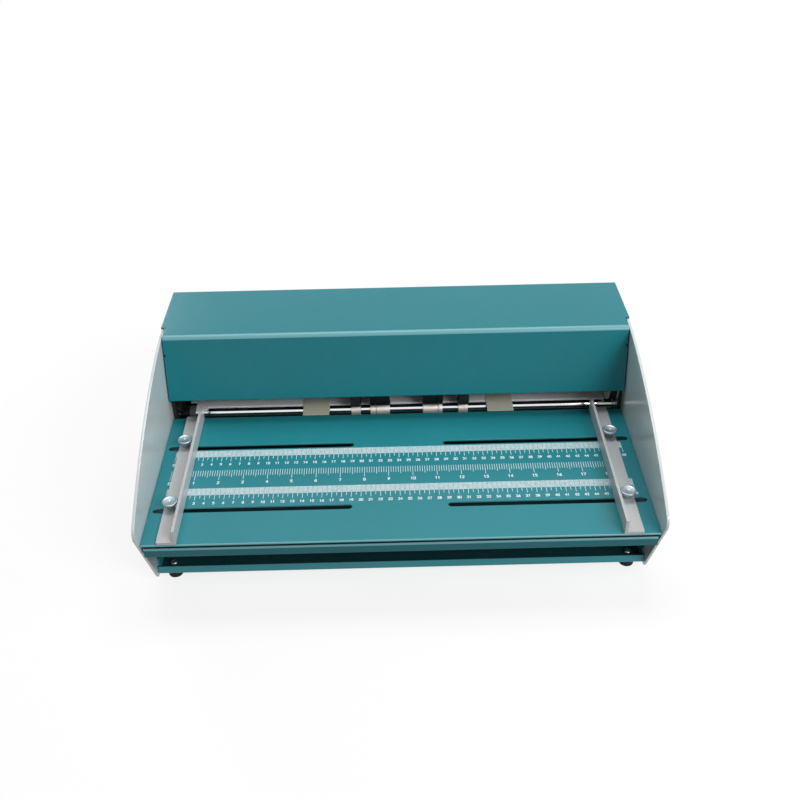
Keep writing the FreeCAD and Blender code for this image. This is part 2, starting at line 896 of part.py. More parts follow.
def feed_table():
    """Painted table with four long slots for the side guides' screws."""
    body = new_body("feed_table")
    end = table_rear
    path = [(front, top), (end, top), (end, above(-s.table_flange))]
    pad(body, "YZ_Plane", -casing_half, casing_half,
        lambda sketch: bent_sheet(sketch, path, s.table_sheet))
    flange = box_outline(back(s.table_flange_inset), above(-s.table_flange),
                         end - s.table_flange_inset, above(-s.table_sheet))
    for low in (-casing_half, casing_half - s.table_sheet):
        pad(body, "YZ_Plane", low, low + s.table_sheet, lambda sketch: outline(sketch, flange))
    radius = s.slot_width / 2

    def draw(sketch):
        for y in (front_slot_y, rear_slot_y):
            near = s.slot_near + radius
            far = casing_half - s.slot_margin - radius
            slot(sketch, (-far, y), (-near, y), radius)
            slot(sketch, (near, y), (far, y), radius)

    pocket(body, "XY_Plane", above(-s.table_sheet) - past, top + past, draw)
    round_edges(body, "X", [(front, top)], s.table_edge_round)
    round_edges(body, "X", [(end, top)], s.table_edge_round)
    return body


def front_rail():
    """Second flange under the table's front edge, stepped up to carry the table."""
    body = new_body("front_rail")
    face = back(s.seat_gap)
    face_top = above(-s.table_sheet - s.rail_gap)
    carry = above(-s.table_sheet)
    ledge = face + s.rail_ledge
    path = [
        (face, face_top - s.rail_face),
        (face, face_top),
        (ledge, face_top),
        (ledge, carry),
        (ledge + s.rail_flange, carry),
    ]
    pad(body, "YZ_Plane", -rail_half, rail_half,
        lambda sketch: bent_sheet(sketch, path, s.rail_sheet))
    round_edges(body, "X", [(face, face_top)], s.rail_edge_round)
    return body


def cross_rail():
    """Plain bar across the machine under the back of the table."""
    body = new_body("table_cross_rail")
    carry = above(-s.table_sheet)
    section = box_outline(cross_rail_y, carry - s.cross_rail_height,
                          cross_rail_y + s.cross_rail_depth, carry)
    pad(body, "YZ_Plane", -rail_half, rail_half, lambda sketch: outline(sketch, section))
    return body


# Frame that carries the shafts


def bearing_plate(label, side):
    body = new_body(label)
    low = plate_face if side > 0 else -casing_half
    top_edge = above(s.bearing_plate_top)
    front_edge = plate_front
    corners = [
        (front_edge, pan_floor),
        (plate_rear, pan_floor),
        (plate_rear, top_edge),
        (front_edge + s.bearing_plate_setback, top_edge),
        (front_edge, above(s.bearing_plate_shoulder)),
    ]
    pad(body, "YZ_Plane", low, low + s.bearing_plate_sheet,
        lambda sketch: outline(sketch, corners))
    seats = [(shaft_y, lower_z), (shaft_y, upper_z)]

    def draw(sketch):
        for seat in seats:
            circle(sketch, seat, s.bearing_diameter / 2)

    pocket(body, "YZ_Plane", low - past, low + s.bearing_plate_sheet + past, draw)
    rounded = [corners[2], corners[3], corners[4]]
    round_edges(body, "X", rounded, s.corner_round)
    return body


def bearing(label, side, z):
    """Ball bearing seen as its two races and the shielded ring between them."""
    half = s.bearing_plate_sheet / 2
    inner_radius = s.journal_diameter / 2
    outer_radius = s.bearing_diameter / 2
    race = (outer_radius - inner_radius) / 3
    shield = s.bearing_plate_sheet / 10
    profile = [
        (-half, inner_radius),
        (half, inner_radius),
        (half, inner_radius + race),
        (half - shield, inner_radius + race),
        (half - shield, outer_radius - race),
        (half, outer_radius - race),
        (half, outer_radius),
        (-half, outer_radius),
        (-half, outer_radius - race),
        (shield - half, outer_radius - race),
        (shield - half, inner_radius + race),
        (-half, inner_radius + race),
    ]
    centre = casing_half - half
    return turned(label, centre * side, shaft_y, z, profile)


def tie_bar(label, y, z):
    """Round bar between the two bearing plates."""
    bar = doc.addObject("Part::Cylinder", label)
    bar.Label = label
    bar.setExpression("Radius", (s.tie_bar_diameter / 2).text)
    bar.setExpression("Height", (plate_face * 2).text)
    bar.Placement = FreeCAD.Placement(Vector(0, 0, 0), FreeCAD.Rotation(AXES["Y"], 90))
    return place(bar, -plate_face, y, z)


# Shafts, gears and tools


def shaft(label, z):
    """Ground shaft with a smaller journal at each end."""
    end = casing_half - s.end_play
    step = shaft_radius
    profile = [
        (-end, 0),
        (end, 0),
        (end, journal_radius),
        (shoulder, journal_radius),
        (shoulder, step),
        (-shoulder, step),
        (-shoulder, journal_radius),
        (-end, journal_radius),
    ]
    return turned(label, 0, shaft_y, z, profile)


def involute(base_radius, radius):
    """Angle, from the flank's foot on the base circle, at which it reaches a radius."""
    if radius <= base_radius:
        return 0.0
    pressure = math.acos(base_radius / radius)
    return math.tan(pressure) - pressure


def gear_outline(teeth, module, pressure, backlash):
    """Closed wire of a spur gear: root arcs, involute flanks and tip arcs."""
    pitch = module * teeth / 2
    base = pitch * math.cos(pressure)
    tip = pitch + module
    root = pitch - 1.25 * module
    foot = max(base, root)
    half_tooth = (math.pi * module / 2 - backlash) / (2 * pitch)
    half_foot = half_tooth + involute(base, pitch)
    edges = []

    def spot(radius, angle):
        return Vector(0, radius * math.cos(angle), radius * math.sin(angle))

    def flank(centre, side):
        reached = []
        for share in (0.0, 0.5, 1.0):
            radius = foot + (tip - foot) * share
            swing = half_foot - involute(base, radius)
            reached.append(spot(radius, centre + side * swing))
        return reached

    step = 2 * math.pi / teeth
    for tooth in range(teeth):
        centre = math.pi / 2 + tooth * step
        rising = flank(centre, -1)
        falling = flank(centre, 1)
        root_start = spot(root, centre - half_foot)
        root_end = spot(root, centre + half_foot)
        next_root = spot(root, centre + step - half_foot)
        valley = spot(root, centre + step / 2)
        edges.append(Part.makeLine(root_start, rising[0]))
        edges.append(Part.Arc(*rising).toShape())
        edges.append(Part.Arc(rising[2], spot(tip, centre), falling[2]).toShape())
        edges.append(Part.Arc(falling[2], falling[1], falling[0]).toShape())
        edges.append(Part.makeLine(falling[0], root_end))
        edges.append(Part.Arc(root_end, valley, next_root).toShape())
    return Part.Wire(edges)


def gear(label, teeth, z, start, width, hub_length, turn_teeth):
    """Spur gear at the left end of its shaft, with any hub beside its teeth."""
    count = int(round(teeth.number))
    wire = gear_outline(count, s.gear_module.number, math.radians(s.pressure_angle.number),
                        s.backlash.number)
    axis = AXES["X"]
    reach = width.number
    solid = Part.Face(wire).extrude(axis * reach)
    if hub_length is not None:
        side = Vector(reach, 0, 0)
        hub = Part.makeCylinder(s.gear_hub_radius.number, hub_length.number, side, axis)
        solid = solid.fuse(hub)
        reach = reach + hub_length.number
    bore = Part.makeCylinder(shaft_radius.number, reach, Vector(0, 0, 0), axis)
    item = shaped(label, solid.cut(bore).removeSplitter())
    turn = FreeCAD.Rotation(axis, 180.0 / count * turn_teeth)
    item.Placement = FreeCAD.Placement(Vector(0, 0, 0), turn)
    return place(item, start, shaft_y, z)


def creasing_wheel(label, x, mirror):
    """Blackened wheel whose narrow rib presses the paper into the ring below."""
    half = s.wheel_width / 2
    rib_centre = (half - s.rib_offset) * mirror
    rib_low = rib_centre - s.rib_width / 2
    rib_high = rib_centre + s.rib_width / 2
    rib_radius = wheel_radius + s.nip_gap + s.rib_engagement
    face = wheel_radius
    neck = face - s.tool_recess * 6
    recess = s.tool_recess
    profile = [
        (-half + recess, shaft_radius),
        (half - recess, shaft_radius),
        (half - recess, neck),
        (half, neck),
        (half, face - s.tool_chamfer),
        (half - s.tool_chamfer, face),
        (rib_high, face),
        (rib_centre + s.rib_width / 5, rib_radius),
        (rib_centre - s.rib_width / 5, rib_radius),
        (rib_low, face),
        (s.tool_chamfer - half, face),
        (-half, face - s.tool_chamfer),
        (-half, neck),
        (-half + recess, neck),
    ]
    return turned(label, x, shaft_y, upper_z, profile)


def anvil_ring(label, x, mirror):
    """Bright ring on the lower shaft with the matching groove."""
    half = s.wheel_width / 2
    groove = (half - s.rib_offset) * mirror
    low = groove - s.groove_width / 2
    high = groove + s.groove_width / 2
    face = s.ring_radius
    floor = s.ring_radius - s.rib_engagement - s.rib_clearance
    edge = s.tool_chamfer / 2
    profile = [
        (-half, shaft_radius),
        (half, shaft_radius),
        (half, face - edge),
        (half - edge, face),
        (high, face),
        (high, floor),
        (low, floor),
        (low, face),
        (edge - half, face),
        (-half, face - edge),
    ]
    return turned(label, x, shaft_y, lower_z, profile)


def feed_hub(label, x):
    """Hub of an upper feed roller, which the rubber tyre is stretched over."""
    half = s.roller_width / 2
    face = roller_radius - s.tyre_thickness
    recess = s.tool_recess
    neck = shaft_radius + s.tyre_thickness
    profile = [
        (-half, shaft_radius),
        (half, shaft_radius),
        (half, neck),
        (half - recess, neck),
        (half - recess, face - recess),
        (half, face - recess),
        (half, face),
        (-half, face),
        (-half, face - recess),
        (recess - half, face - recess),
        (recess - half, neck),
        (-half, neck),
    ]
    return turned(label, x, shaft_y, upper_z, profile)


def feed_tyre(label, x):
    half = s.roller_width / 2
    face = roller_radius
    edge = s.tool_chamfer
    profile = [
        (-half, face - s.tyre_thickness),
        (half, face - s.tyre_thickness),
        (half, face - edge),
        (half - edge, face),
        (edge - half, face),
        (-half, face - edge),
    ]
    return turned(label, x, shaft_y, upper_z, profile)


def feed_ring(label, x):
    """Narrow bright ring under each feed roller, with a fine groove in its face."""
    half = s.roller_width / 2
    edge = s.tool_chamfer / 2
    face = s.roller_ring_radius
    low = half - s.roller_width / 3
    profile = [
        (-half, shaft_radius),
        (half, shaft_radius),
        (half, face - edge),
        (half - edge, face),
        (low + edge, face),
        (low, face - edge),
        (low - edge, face),
        (edge - half, face),
        (-half, face - edge),
    ]
    return turned(label, x, shaft_y, lower_z, profile)


def spacer(label):
    """Grey spacer beside the lower gear's hub."""
    start = s.gear_width + s.gear_hub_length - gear_outer
    edge = s.tool_chamfer / 2
    profile = [
        (0, shaft_radius),
        (s.spacer_length, shaft_radius),
        (s.spacer_length, s.spacer_radius - edge),
        (s.spacer_length - edge, s.spacer_radius),
        (edge, s.spacer_radius),
        (0, s.spacer_radius - edge),
    ]
    return turned(label, start, shaft_y, lower_z, profile)


# Paper path behind the table


def guide_plate():
    """Bright plate from the tools to the exit, cut out round the rings below."""
    body = new_body("exit_guide_plate")
    low = above(-s.guide_sheet)
    half = casing_half - s.guide_plate_margin
    tab_left = half - s.tab_inset
    tab_right = tab_left - s.tab_width
    wing = plate_face - s.end_play
    window = shaft_y - s.window_ahead
    corner = shaft_y + s.guide_corner_behind
    wing_front = shaft_y + s.guide_wing_behind
    end = rear - s.guide_end_inset
    tab_front = shaft_y - s.tab_ahead
    edge = [
        (-half, corner),
        (-tab_left, corner),
        (-tab_left, tab_front),
        (-tab_right, tab_front),
        (-tab_right, window),
    ]
    tools = [
        (s.left_roller_x, s.roller_width),
        (s.left_wheel_x, s.wheel_width),
        (s.right_wheel_x, s.wheel_width),
        (s.right_roller_x, s.roller_width),
    ]
    for x, width in tools:
        reach = width / 2 + s.ring_notch_margin
        notch = shaft_y + s.ring_notch_behind
        edge += [(x - reach, window), (x - reach, notch), (x + reach, notch), (x + reach, window)]
    edge += [
        (half, window),
        (half, wing_front),
        (wing, wing_front),
        (wing, end),
        (-wing, end),
        (-wing, wing_front),
        (-half, wing_front),
    ]
    pad(body, "XY_Plane", low, top, lambda sketch: outline(sketch, edge))
    flange = box_outline(wing_front, low - s.guide_wing_flange,
                         plate_rear - s.panel_flange, low)
    for start in (-wing, wing - s.guide_sheet):
        pad(body, "YZ_Plane", start, start + s.guide_sheet, lambda sketch: outline(sketch, flange))
    round_edges(body, "Z", [(-tab_right, window)], s.tab_corner)
    return body


def bridge_plate(label, x, slot_x):
    """Thin strip that carries the paper from the table over the lower shaft."""
    body = new_body(label)
    rest = above(-s.bridge_drop)
    bend = shaft_y - s.bridge_bend_ahead
    path = [
        (shaft_y + s.bridge_end_behind, top),
        (bend + s.bridge_bend_run, top),
        (bend, rest),
        (table_rear + s.bridge_table_gap, rest),
    ]
    half = s.bridge_width / 2
    pad(body, "YZ_Plane", -half, half, lambda sketch: bent_sheet(sketch, path, s.bridge_sheet))

    def draw(sketch):
        reach = s.bridge_slot_radius
        near = shaft_y + s.bridge_slot_behind + reach
        far = near + s.bridge_slot_length - reach * 2
        slot(sketch, (slot_x, near), (slot_x, far), reach, upright=True)

    pocket(body, "XY_Plane", top - past, top + s.bridge_sheet + past, draw)
    return place(body, x, 0, 0)


# Belt drive


def toothed_pulley(label, x, y, z, radius, teeth, bore):
    """Belt pulley with a flange at each side and tooth gaps round its face."""
    width = s.pulley_width
    rim = radius + s.pulley_flange
    sheet_width = s.flange_sheet
    profile = [
        (0, bore),
        (width, bore),
        (width, rim),
        (width - sheet_width, rim),
        (width - sheet_width, radius),
        (sheet_width, radius),
        (sheet_width, rim),
        (0, rim),
    ]
    body = new_body(label)
    revolve(body, "XY_Plane", "H_Axis", lambda sketch: outline(sketch, profile))
    gap = radius * math.pi / teeth / 2
    gap_wall = box_outline(-gap, radius - s.pulley_groove, gap, radius + s.pulley_groove)
    cut = pocket(body, "YZ_Plane", sheet_width, width - sheet_width,
                 lambda sketch: outline(sketch, gap_wall))
    pattern = body.newObject("PartDesign::PolarPattern", body.Name + "_teeth")
    pattern.Originals = [cut]
    pattern.Axis = (origin_item(body, "X_Axis"), [""])
    pattern.Angle = 360
    pattern.setExpression("Occurrences", teeth.text)
    body.Tip = pattern
    settled(pattern)
    return place(body, x, y, z)


def belt_wire(near, near_radius, far, far_radius):
    """Closed loop round two circles, as two arcs and the two lines that touch both."""
    span = far - near
    length = span.Length
    heading = math.atan2(span.z, span.y)
    spread = math.acos((near_radius - far_radius) / length)

    def rim(centre, radius, angle):
        return centre + Vector(0, math.cos(angle), math.sin(angle)) * radius

    near_up = rim(near, near_radius, heading + spread)
    near_low = rim(near, near_radius, heading - spread)
    far_up = rim(far, far_radius, heading + spread)
    far_low = rim(far, far_radius, heading - spread)
    wrap = Part.Arc(near_up, rim(near, near_radius, heading + math.pi), near_low).toShape()
    turn = Part.Arc(far_low, rim(far, far_radius, heading), far_up).toShape()
    return Part.Wire([wrap, Part.makeLine(near_low, far_low), turn, Part.makeLine(far_up, near_up)])


def drive_belt():
    near = Vector(0, shaft_y.number, upper_z.number)
    far = Vector(0, motor_y.number, motor_z.number)
    gap = s.belt_gap.number
    thick = s.belt_sheet.number
    small = s.motor_pulley_radius.number + gap
    large = s.pulley_radius.number + gap
    inset = s.flange_sheet.number + gap
    width = s.pulley_width.number - 2 * inset
    outside = Part.Face(belt_wire(near, large + thick, far, small + thick))
    inside = Part.Face(belt_wire(near, large, far, small))
    loop = outside.extrude(Vector(width, 0, 0)).cut(inside.extrude(Vector(width, 0, 0)))
    loop = loop.Solids[0]
    loop.translate(Vector(pulley_x.number + inset, 0, 0))
    return shaped("drive_belt", loop)


def gear_motor():
    """Square gearbox and round motor in one, with the bore its output shaft turns in."""
    body = new_body("gear_motor")
    half = s.gearbox_size / 2
    face = bracket_x
    box_low = face - s.gearbox_length
    motor_low = box_low - s.motor_length
    square = box_outline(motor_y - half, motor_z - half, motor_y + half, motor_z + half)
    pad(body, "YZ_Plane", box_low, face, lambda sketch: outline(sketch, square))
    corners = [(motor_y - half, motor_z - half), (motor_y + half, motor_z - half),
               (motor_y + half, motor_z + half), (motor_y - half, motor_z + half)]
    round_edges(body, "X", corners, s.corner_round * 2)
    centre = (motor_y, motor_z)
    boss_end = face + s.bracket_sheet
    can = s.motor_diameter / 2
    stages = [(motor_low, box_low, can),
              (motor_low - s.motor_cap_length, motor_low, can - s.corner_round),
              (face, boss_end, s.gearbox_boss_radius)]
    for low, high, radius in stages:
        pad(body, "YZ_Plane", low, high, lambda sketch: circle(sketch, centre, radius))
    bore = s.motor_shaft_diameter / 2 + s.running_gap
    pocket(body, "YZ_Plane", boss_end - s.motor_shaft_depth, boss_end + past,
           lambda sketch: circle(sketch, centre, bore))
    return body


def motor_shaft():
    start = bracket_x + s.bracket_sheet - s.motor_shaft_depth + s.seat_gap
    end = pulley_x + s.pulley_width
    radius = s.motor_shaft_diameter / 2
    profile = [(start, 0), (end, 0), (end, radius), (start, radius)]
    return turned("motor_shaft", 0, motor_y, motor_z, profile)


def motor_bracket():
    """Folded bracket that hangs the motor from the right bearing plate."""
    body = new_body("motor_bracket")
    face = bracket_x
    crown = above(s.bracket_top)
    path = [
        (face, motor_z - s.bracket_half),
        (face, crown),
        (plate_face, crown),
        (plate_face, crown - s.bracket_tab),
    ]
    low = motor_y - s.bracket_half
    high = plate_rear
    pad(body, "XZ_Plane", low, high, lambda sketch: bent_sheet(sketch, path, s.bracket_sheet))
    pocket(body, "YZ_Plane", face - past, face + s.bracket_sheet + past,
           lambda sketch: circle(sketch, (motor_y, motor_z), s.gearbox_boss_radius))
    return body


def capacitor():
    """Motor capacitor standing on the pan, with the stud that holds it."""
    body = new_body("motor_capacitor")
    radius = s.capacitor_diameter / 2
    stud_low = pan_bottom - s.capacitor_nut_height - s.capacitor_stud_tail
    crimp = s.tool_recess
    profile = [
        (0, stud_low),
        (s.capacitor_stud_radius, stud_low),
        (s.capacitor_stud_radius, pan_floor),
        (radius, pan_floor),
        (radius, pan_floor + s.capacitor_height),
        (radius - crimp, pan_floor + s.capacitor_height),
        (radius - crimp, pan_floor + s.capacitor_height - crimp),
        (0, pan_floor + s.capacitor_height - crimp),
    ]
    revolve(body, "XZ_Plane", "V_Axis", lambda sketch: outline(sketch, profile))
    return place(body, s.capacitor_x, capacitor_y, 0)


def hex_nut(label, radius, bore, height, x, y, z):
    """Six-sided nut standing on its lower face."""
    nut = doc.addObject("Part::Prism", label + "_block")
    nut.Polygon = 6
    nut.setExpression("Circumradius", as_size(radius).text)
    nut.setExpression("Height", as_size(height).text)
    hole = doc.addObject("Part::Cylinder", label + "_hole")
    hole.setExpression("Radius", as_size(bore).text)
    hole.setExpression("Height", as_size(height).text)
    cut = doc.addObject("Part::Cut", label)
    cut.Label = label
    cut.Base = nut
    cut.Tool = hole
    doc.recompute()
    return place(cut, x, y, z)


# Inlet and switch


def power_inlet():
    """Three-pin mains inlet: rim, open shroud and blades."""
    body = new_body("power_inlet")
    face = panel_y
    centre_z = above(-s.socket_below)
    half_w = s.inlet_width / 2
    half_h = s.inlet_height / 2
    fit = s.running_gap
    rim = s.inlet_rim
    shell = box_outline(-half_w + fit, centre_z - half_h + fit,
                        half_w - fit, centre_z + half_h - fit)
    plate = box_outline(-half_w - rim, centre_z - half_h - rim,
                        half_w + rim, centre_z + half_h + rim)
    wall = s.inlet_wall
    hollow = box_outline(-half_w + wall, centre_z - half_h + wall,
                         half_w - wall, centre_z + half_h - wall)
    rim_face = face + s.inlet_rim_thick
    pad(body, "XZ_Plane", face - s.inlet_depth, face, lambda sketch: outline(sketch, shell))
    pad(body, "XZ_Plane", face, rim_face, lambda sketch: outline(sketch, plate))
    floor = face - s.inlet_depth + wall
    pocket(body, "XZ_Plane", floor, rim_face + past, lambda sketch: outline(sketch, hollow))
    pin_w = s.inlet_pin_width / 2
    pin_t = s.inlet_pin_thick / 2
    places = [(s.inlet_width / -4, -s.inlet_pin_thick), (as_size(0), s.inlet_pin_thick),
              (s.inlet_width / 4, -s.inlet_pin_thick)]

    def draw(sketch):
        for x, lift in places:
            outline(sketch, box_outline(x - pin_t, centre_z + lift - pin_w,
                                        x + pin_t, centre_z + lift + pin_w))

    pad(body, "XZ_Plane", floor, face - s.inlet_wall, draw)
    return place(body, inlet_x, 0, 0)


def switch_housing():
    body = new_body("switch_housing")
    face = panel_y
    centre_z = above(-s.socket_below)
    half_w = s.switch_width / 2
    half_h = s.switch_height / 2
    fit = s.running_gap
    rim = s.switch_rim
    wall = s.switch_wall
    shell = box_outline(-half_w + fit, centre_z - half_h + fit,
                        half_w - fit, centre_z + half_h - fit)
    plate = box_outline(-half_w - rim, centre_z - half_h - rim,
                        half_w + rim, centre_z + half_h + rim)
    hollow = box_outline(-half_w + wall, centre_z - half_h + wall,
                         half_w - wall, centre_z + half_h - wall)
    rim_face = face + s.switch_rim_thick
    pad(body, "XZ_Plane", face - s.switch_depth, face, lambda sketch: outline(sketch, shell))
    pad(body, "XZ_Plane", face, rim_face, lambda sketch: outline(sketch, plate))
    floor = face - s.switch_depth + wall
    pocket(body, "XZ_Plane", floor, rim_face + past, lambda sketch: outline(sketch, hollow))
    pivot = (face - s.rocker_pivot_depth, centre_z)
    bore = s.rocker_pivot_radius + s.running_gap
    pocket(body, "YZ_Plane", -half_w, half_w, lambda sketch: circle(sketch, pivot, bore))
    return place(body, switch_x, 0, 0)


def switch_rocker():
    """Rocker key with a shallow valley and pivot pins, stored tipped to its off side."""
    body = new_body("switch_rocker")
    half_w = s.switch_width / 2 - s.switch_wall - s.rocker_gap
    half_h = s.switch_height / 2 - s.switch_wall - s.rocker_gap * 3
    shoulder_y = s.rocker_pivot_depth
    crest = shoulder_y + s.switch_rim_thick
    valley = shoulder_y + s.switch_rim_thick / 3
    depth = s.rocker_pivot_radius * 1.5
    profile = [
        (-depth, -half_h / 2),
        (shoulder_y, -half_h),
        (crest, -half_h),
        (valley, as_size(0)),
        (crest, half_h),
        (shoulder_y, half_h),
        (-depth, half_h / 2),
    ]
    pad(body, "YZ_Plane", -half_w, half_w, lambda sketch: outline(sketch, profile))
    pin_end = s.switch_width / 2 - s.switch_wall / 2
    pad(body, "YZ_Plane", -pin_end, pin_end,
        lambda sketch: circle(sketch, (0, 0), s.rocker_pivot_radius))
    body.Placement = FreeCAD.Placement(Vector(0, 0, 0), FreeCAD.Rotation(AXES["X"], 1))
    body.setExpression("Placement.Rotation.Angle", s.rocker_tilt.text)
    return place(body, switch_x, panel_y - s.rocker_pivot_depth, above(-s.socket_below))


# Side guides


def side_guide(label, side):
    """Angle section that the sheet's edge runs along, with two screw holes."""
    body = new_body(label)
    rest = above(s.slide_gap)
    outer = guide_edges[side]
    fence = outer - s.guide_rail_width * side
    path = [(outer, rest), (fence, rest), (fence, rest + s.guide_rail_height)]
    if side < 0:
        path.reverse()
    low = back(s.guide_rail_front)
    high = table_rear - s.guide_rail_rear_gap
    pad(body, "XZ_Plane", low, high,
        lambda sketch: bent_sheet(sketch, path, s.guide_rail_sheet))

    def draw(sketch):
        for y in (front_slot_y, rear_slot_y):
            circle(sketch, (thumb_spots[side], y), s.stud_radius + s.stud_clearance)

    pocket(body, "XY_Plane", rest - past, rest + s.guide_rail_sheet + past, draw)
    corner = (outer, low)
    round_edges(body, "Z", [corner, (outer, high)], s.corner_round / 2)
    return body


def thumb_screw(label, side, y):
    """Round-headed screw: dished disc, taper, collar, and the stud through the slot."""
    body = new_body(label)
    seat = above(s.slide_gap + s.guide_rail_sheet + s.slide_gap)
    rim_low = s.thumb_height - s.thumb_rim - s.thumb_chamfer
    tail = s.guide_rail_sheet + s.table_sheet + s.seat_gap + s.clamp_nut_height + s.stud_tail
    lip = s.thumb_radius - s.thumb_chamfer - s.thumb_lip
    profile = [
        (0, -tail),
        (s.stud_radius, -tail),
        (s.stud_radius, 0),
        (s.thumb_collar_radius, 0),
        (s.thumb_collar_radius, s.thumb_collar_height),
        (s.thumb_radius - s.thumb_chamfer, rim_low),
        (s.thumb_radius, rim_low + s.thumb_chamfer),
        (s.thumb_radius, s.thumb_height - s.thumb_chamfer),
        (s.thumb_radius - s.thumb_chamfer, s.thumb_height),
        (lip, s.thumb_height),
        (lip - s.thumb_dish, s.thumb_height - s.thumb_dish),
        (0, s.thumb_height - s.thumb_dish),
    ]
    revolve(body, "XZ_Plane", "V_Axis", lambda sketch: outline(sketch, profile))
    return place(body, thumb_spots[side], y, seat)


def clamp_nuts(label, side):
    """The two square nuts under the table that one guide's screws draw up."""
    size = s.clamp_nut_size
    crown = above(-s.table_sheet - s.seat_gap)
    bore = s.stud_radius + s.running_gap
    nuts = []
    for number, y in enumerate((front_slot_y, rear_slot_y)):
        block = doc.addObject("Part::Box", "%s_block_%d" % (label, number))
        block.setExpression("Length", size.text)
        block.setExpression("Width", size.text)
        block.setExpression("Height", s.clamp_nut_height.text)
        hole = doc.addObject("Part::Cylinder", "%s_hole_%d" % (label, number))
        hole.setExpression("Radius", bore.text)
        hole.setExpression("Height", s.clamp_nut_height.text)
        low = crown - s.clamp_nut_height
        place(block, thumb_spots[side] - size / 2, y - size / 2, low)
        place(hole, thumb_spots[side], y, low)
        cut = doc.addObject("Part::Cut", "%s_%d" % (label, number))
        cut.Base = block
        cut.Tool = hole
        nuts.append(cut)
    group = doc.addObject("Part::Compound", label)
    group.Label = label
    group.Links = nuts
    return settled(group)


# Feet and screws


def rubber_foot(label, side, y):
    """Rubber foot, a little narrower at the floor."""
    body = new_body(label)
    radius = s.foot_diameter / 2
    profile = [
        (s.foot_screw_radius, 0),
        (radius - s.tool_chamfer, 0),
        (radius - s.tool_chamfer / 2, s.tool_chamfer / 2),
        (radius, s.foot_height),
        (s.foot_screw_radius, s.foot_height),
    ]
    revolve(body, "XZ_Plane", "V_Axis", lambda sketch: outline(sketch, profile))
    return place(body, foot_x * side, y, 0)


def screw_solid(head_radius, head_height, shank_radius, shank_length):
    """Low round-headed screw standing on its head's seat, shank down."""
    dome = Part.makeCylinder(head_radius, head_height * 0.6)
    crown = Part.makeCone(head_radius, head_radius * 0.6, head_height * 0.4)
    crown.translate(Vector(0, 0, head_height * 0.6))
    shank = Part.makeCylinder(shank_radius, shank_length)
    shank.translate(Vector(0, 0, -shank_length))
    return dome.fuse([crown, shank]).removeSplitter()


def foot_screws():
    """The four screws whose heads stand on the pan above the feet."""
    reach = s.foot_height.number * 0.7 + s.pan_sheet.number
    screw = screw_solid(s.foot_screw_head_radius.number, s.foot_screw_head_height.number,
                        s.foot_screw_radius.number, reach)
    solids = []
    for x in (-foot_x, foot_x):
        for y in (front_foot_y, rear_foot_y):
            copy = screw.copy()
            copy.translate(Vector(x.number, y.number, pan_floor.number))
            solids.append(copy)
    return shaped("foot_screws", Part.makeCompound(solids))


def side_screw_spots():
    """Where the side plates are screwed to the table, pan and bearing plates."""
    return [
        (front_slot_y, above(-s.table_flange / 2)),
        (rear_slot_y, above(-s.table_flange / 2)),
        (front_foot_y + s.table_flange * 2, pan_floor + s.pan_side_lip / 2),
        (shaft_y + s.upper_tie_behind, above(s.upper_tie_above)),
        (shaft_y + s.lower_tie_behind, above(-s.lower_tie_below)),
        (rear - s.rear_screw_inset, above(s.upper_tie_above)),
    ]


def side_screws(label, side):
    screw = screw_solid(s.side_screw_radius.number, s.side_screw_head.number,
                        s.foot_screw_radius.number, s.side_sheet.number)
    screw.rotate(Vector(0, 0, 0), AXES["Y"], 90 * side)
    solids = []
    for y, z in side_screw_spots():
        copy = screw.copy()
        copy.translate(Vector(side_outer.number * side, y.number, z.number))
        solids.append(copy)
    return shaped(label, Part.makeCompound(solids))


def drill_side_plate(body, side):
    """Holes for the screws, as wide as their shanks."""
    low = inner if side > 0 else -side_outer

    def draw(sketch):
        for spot in side_screw_spots():
            circle(sketch, spot, s.foot_screw_radius)

    pocket(body, "YZ_Plane", low - past, low + s.side_sheet + past, draw)
    return body


# Assembly


def casing():
    parts = [hood(), feed_table(), front_rail(), cross_rail(), base_pan(), rear_panel()]
    for name, side in (("left", -1), ("right", 1)):
        parts.append(drill_side_plate(side_plate(name + "_side_plate", side), side))
        parts.append(side_screws(name + "_side_screws", side))
        parts.append(rubber_foot("front_%s_foot" % name, side, front_foot_y))
        parts.append(rubber_foot("rear_%s_foot" % name, side, rear_foot_y))
    parts.append(foot_screws())
    return parts


def shaft_frame():
    parts = []
    for name, side in (("left", -1), ("right", 1)):
        parts.append(bearing_plate(name + "_bearing_plate", side))
        parts.append(bearing("upper_%s_bearing" % name, side, upper_z))
        parts.append(bearing("lower_%s_bearing" % name, side, lower_z))
    parts.append(tie_bar("upper_tie_bar", shaft_y + s.upper_tie_behind, above(s.upper_tie_above)))
    parts.append(tie_bar("lower_tie_bar", shaft_y + s.lower_tie_behind, above(-s.lower_tie_below)))
    return parts


def upper_set():
    gap = s.gear_side_gap
    parts = [shaft("upper_shaft", upper_z),
             gear("upper_gear", s.upper_teeth, upper_z, gap - gear_outer,
                  s.gear_width - gap * 2, None, 0)]
    parts.append(toothed_pulley("upper_pulley", pulley_x, shaft_y, upper_z,
                                s.pulley_radius, s.pulley_teeth, shaft_radius))
    parts.append(creasing_wheel("left_creasing_wheel", s.left_wheel_x, -1))
    parts.append(creasing_wheel("right_creasing_wheel", s.right_wheel_x, 1))
    for name, x in (("left", s.left_roller_x), ("right", s.right_roller_x)):
        parts.append(feed_hub(name + "_feed_hub", x))
        parts.append(feed_tyre(name + "_feed_tyre", x))
    return parts


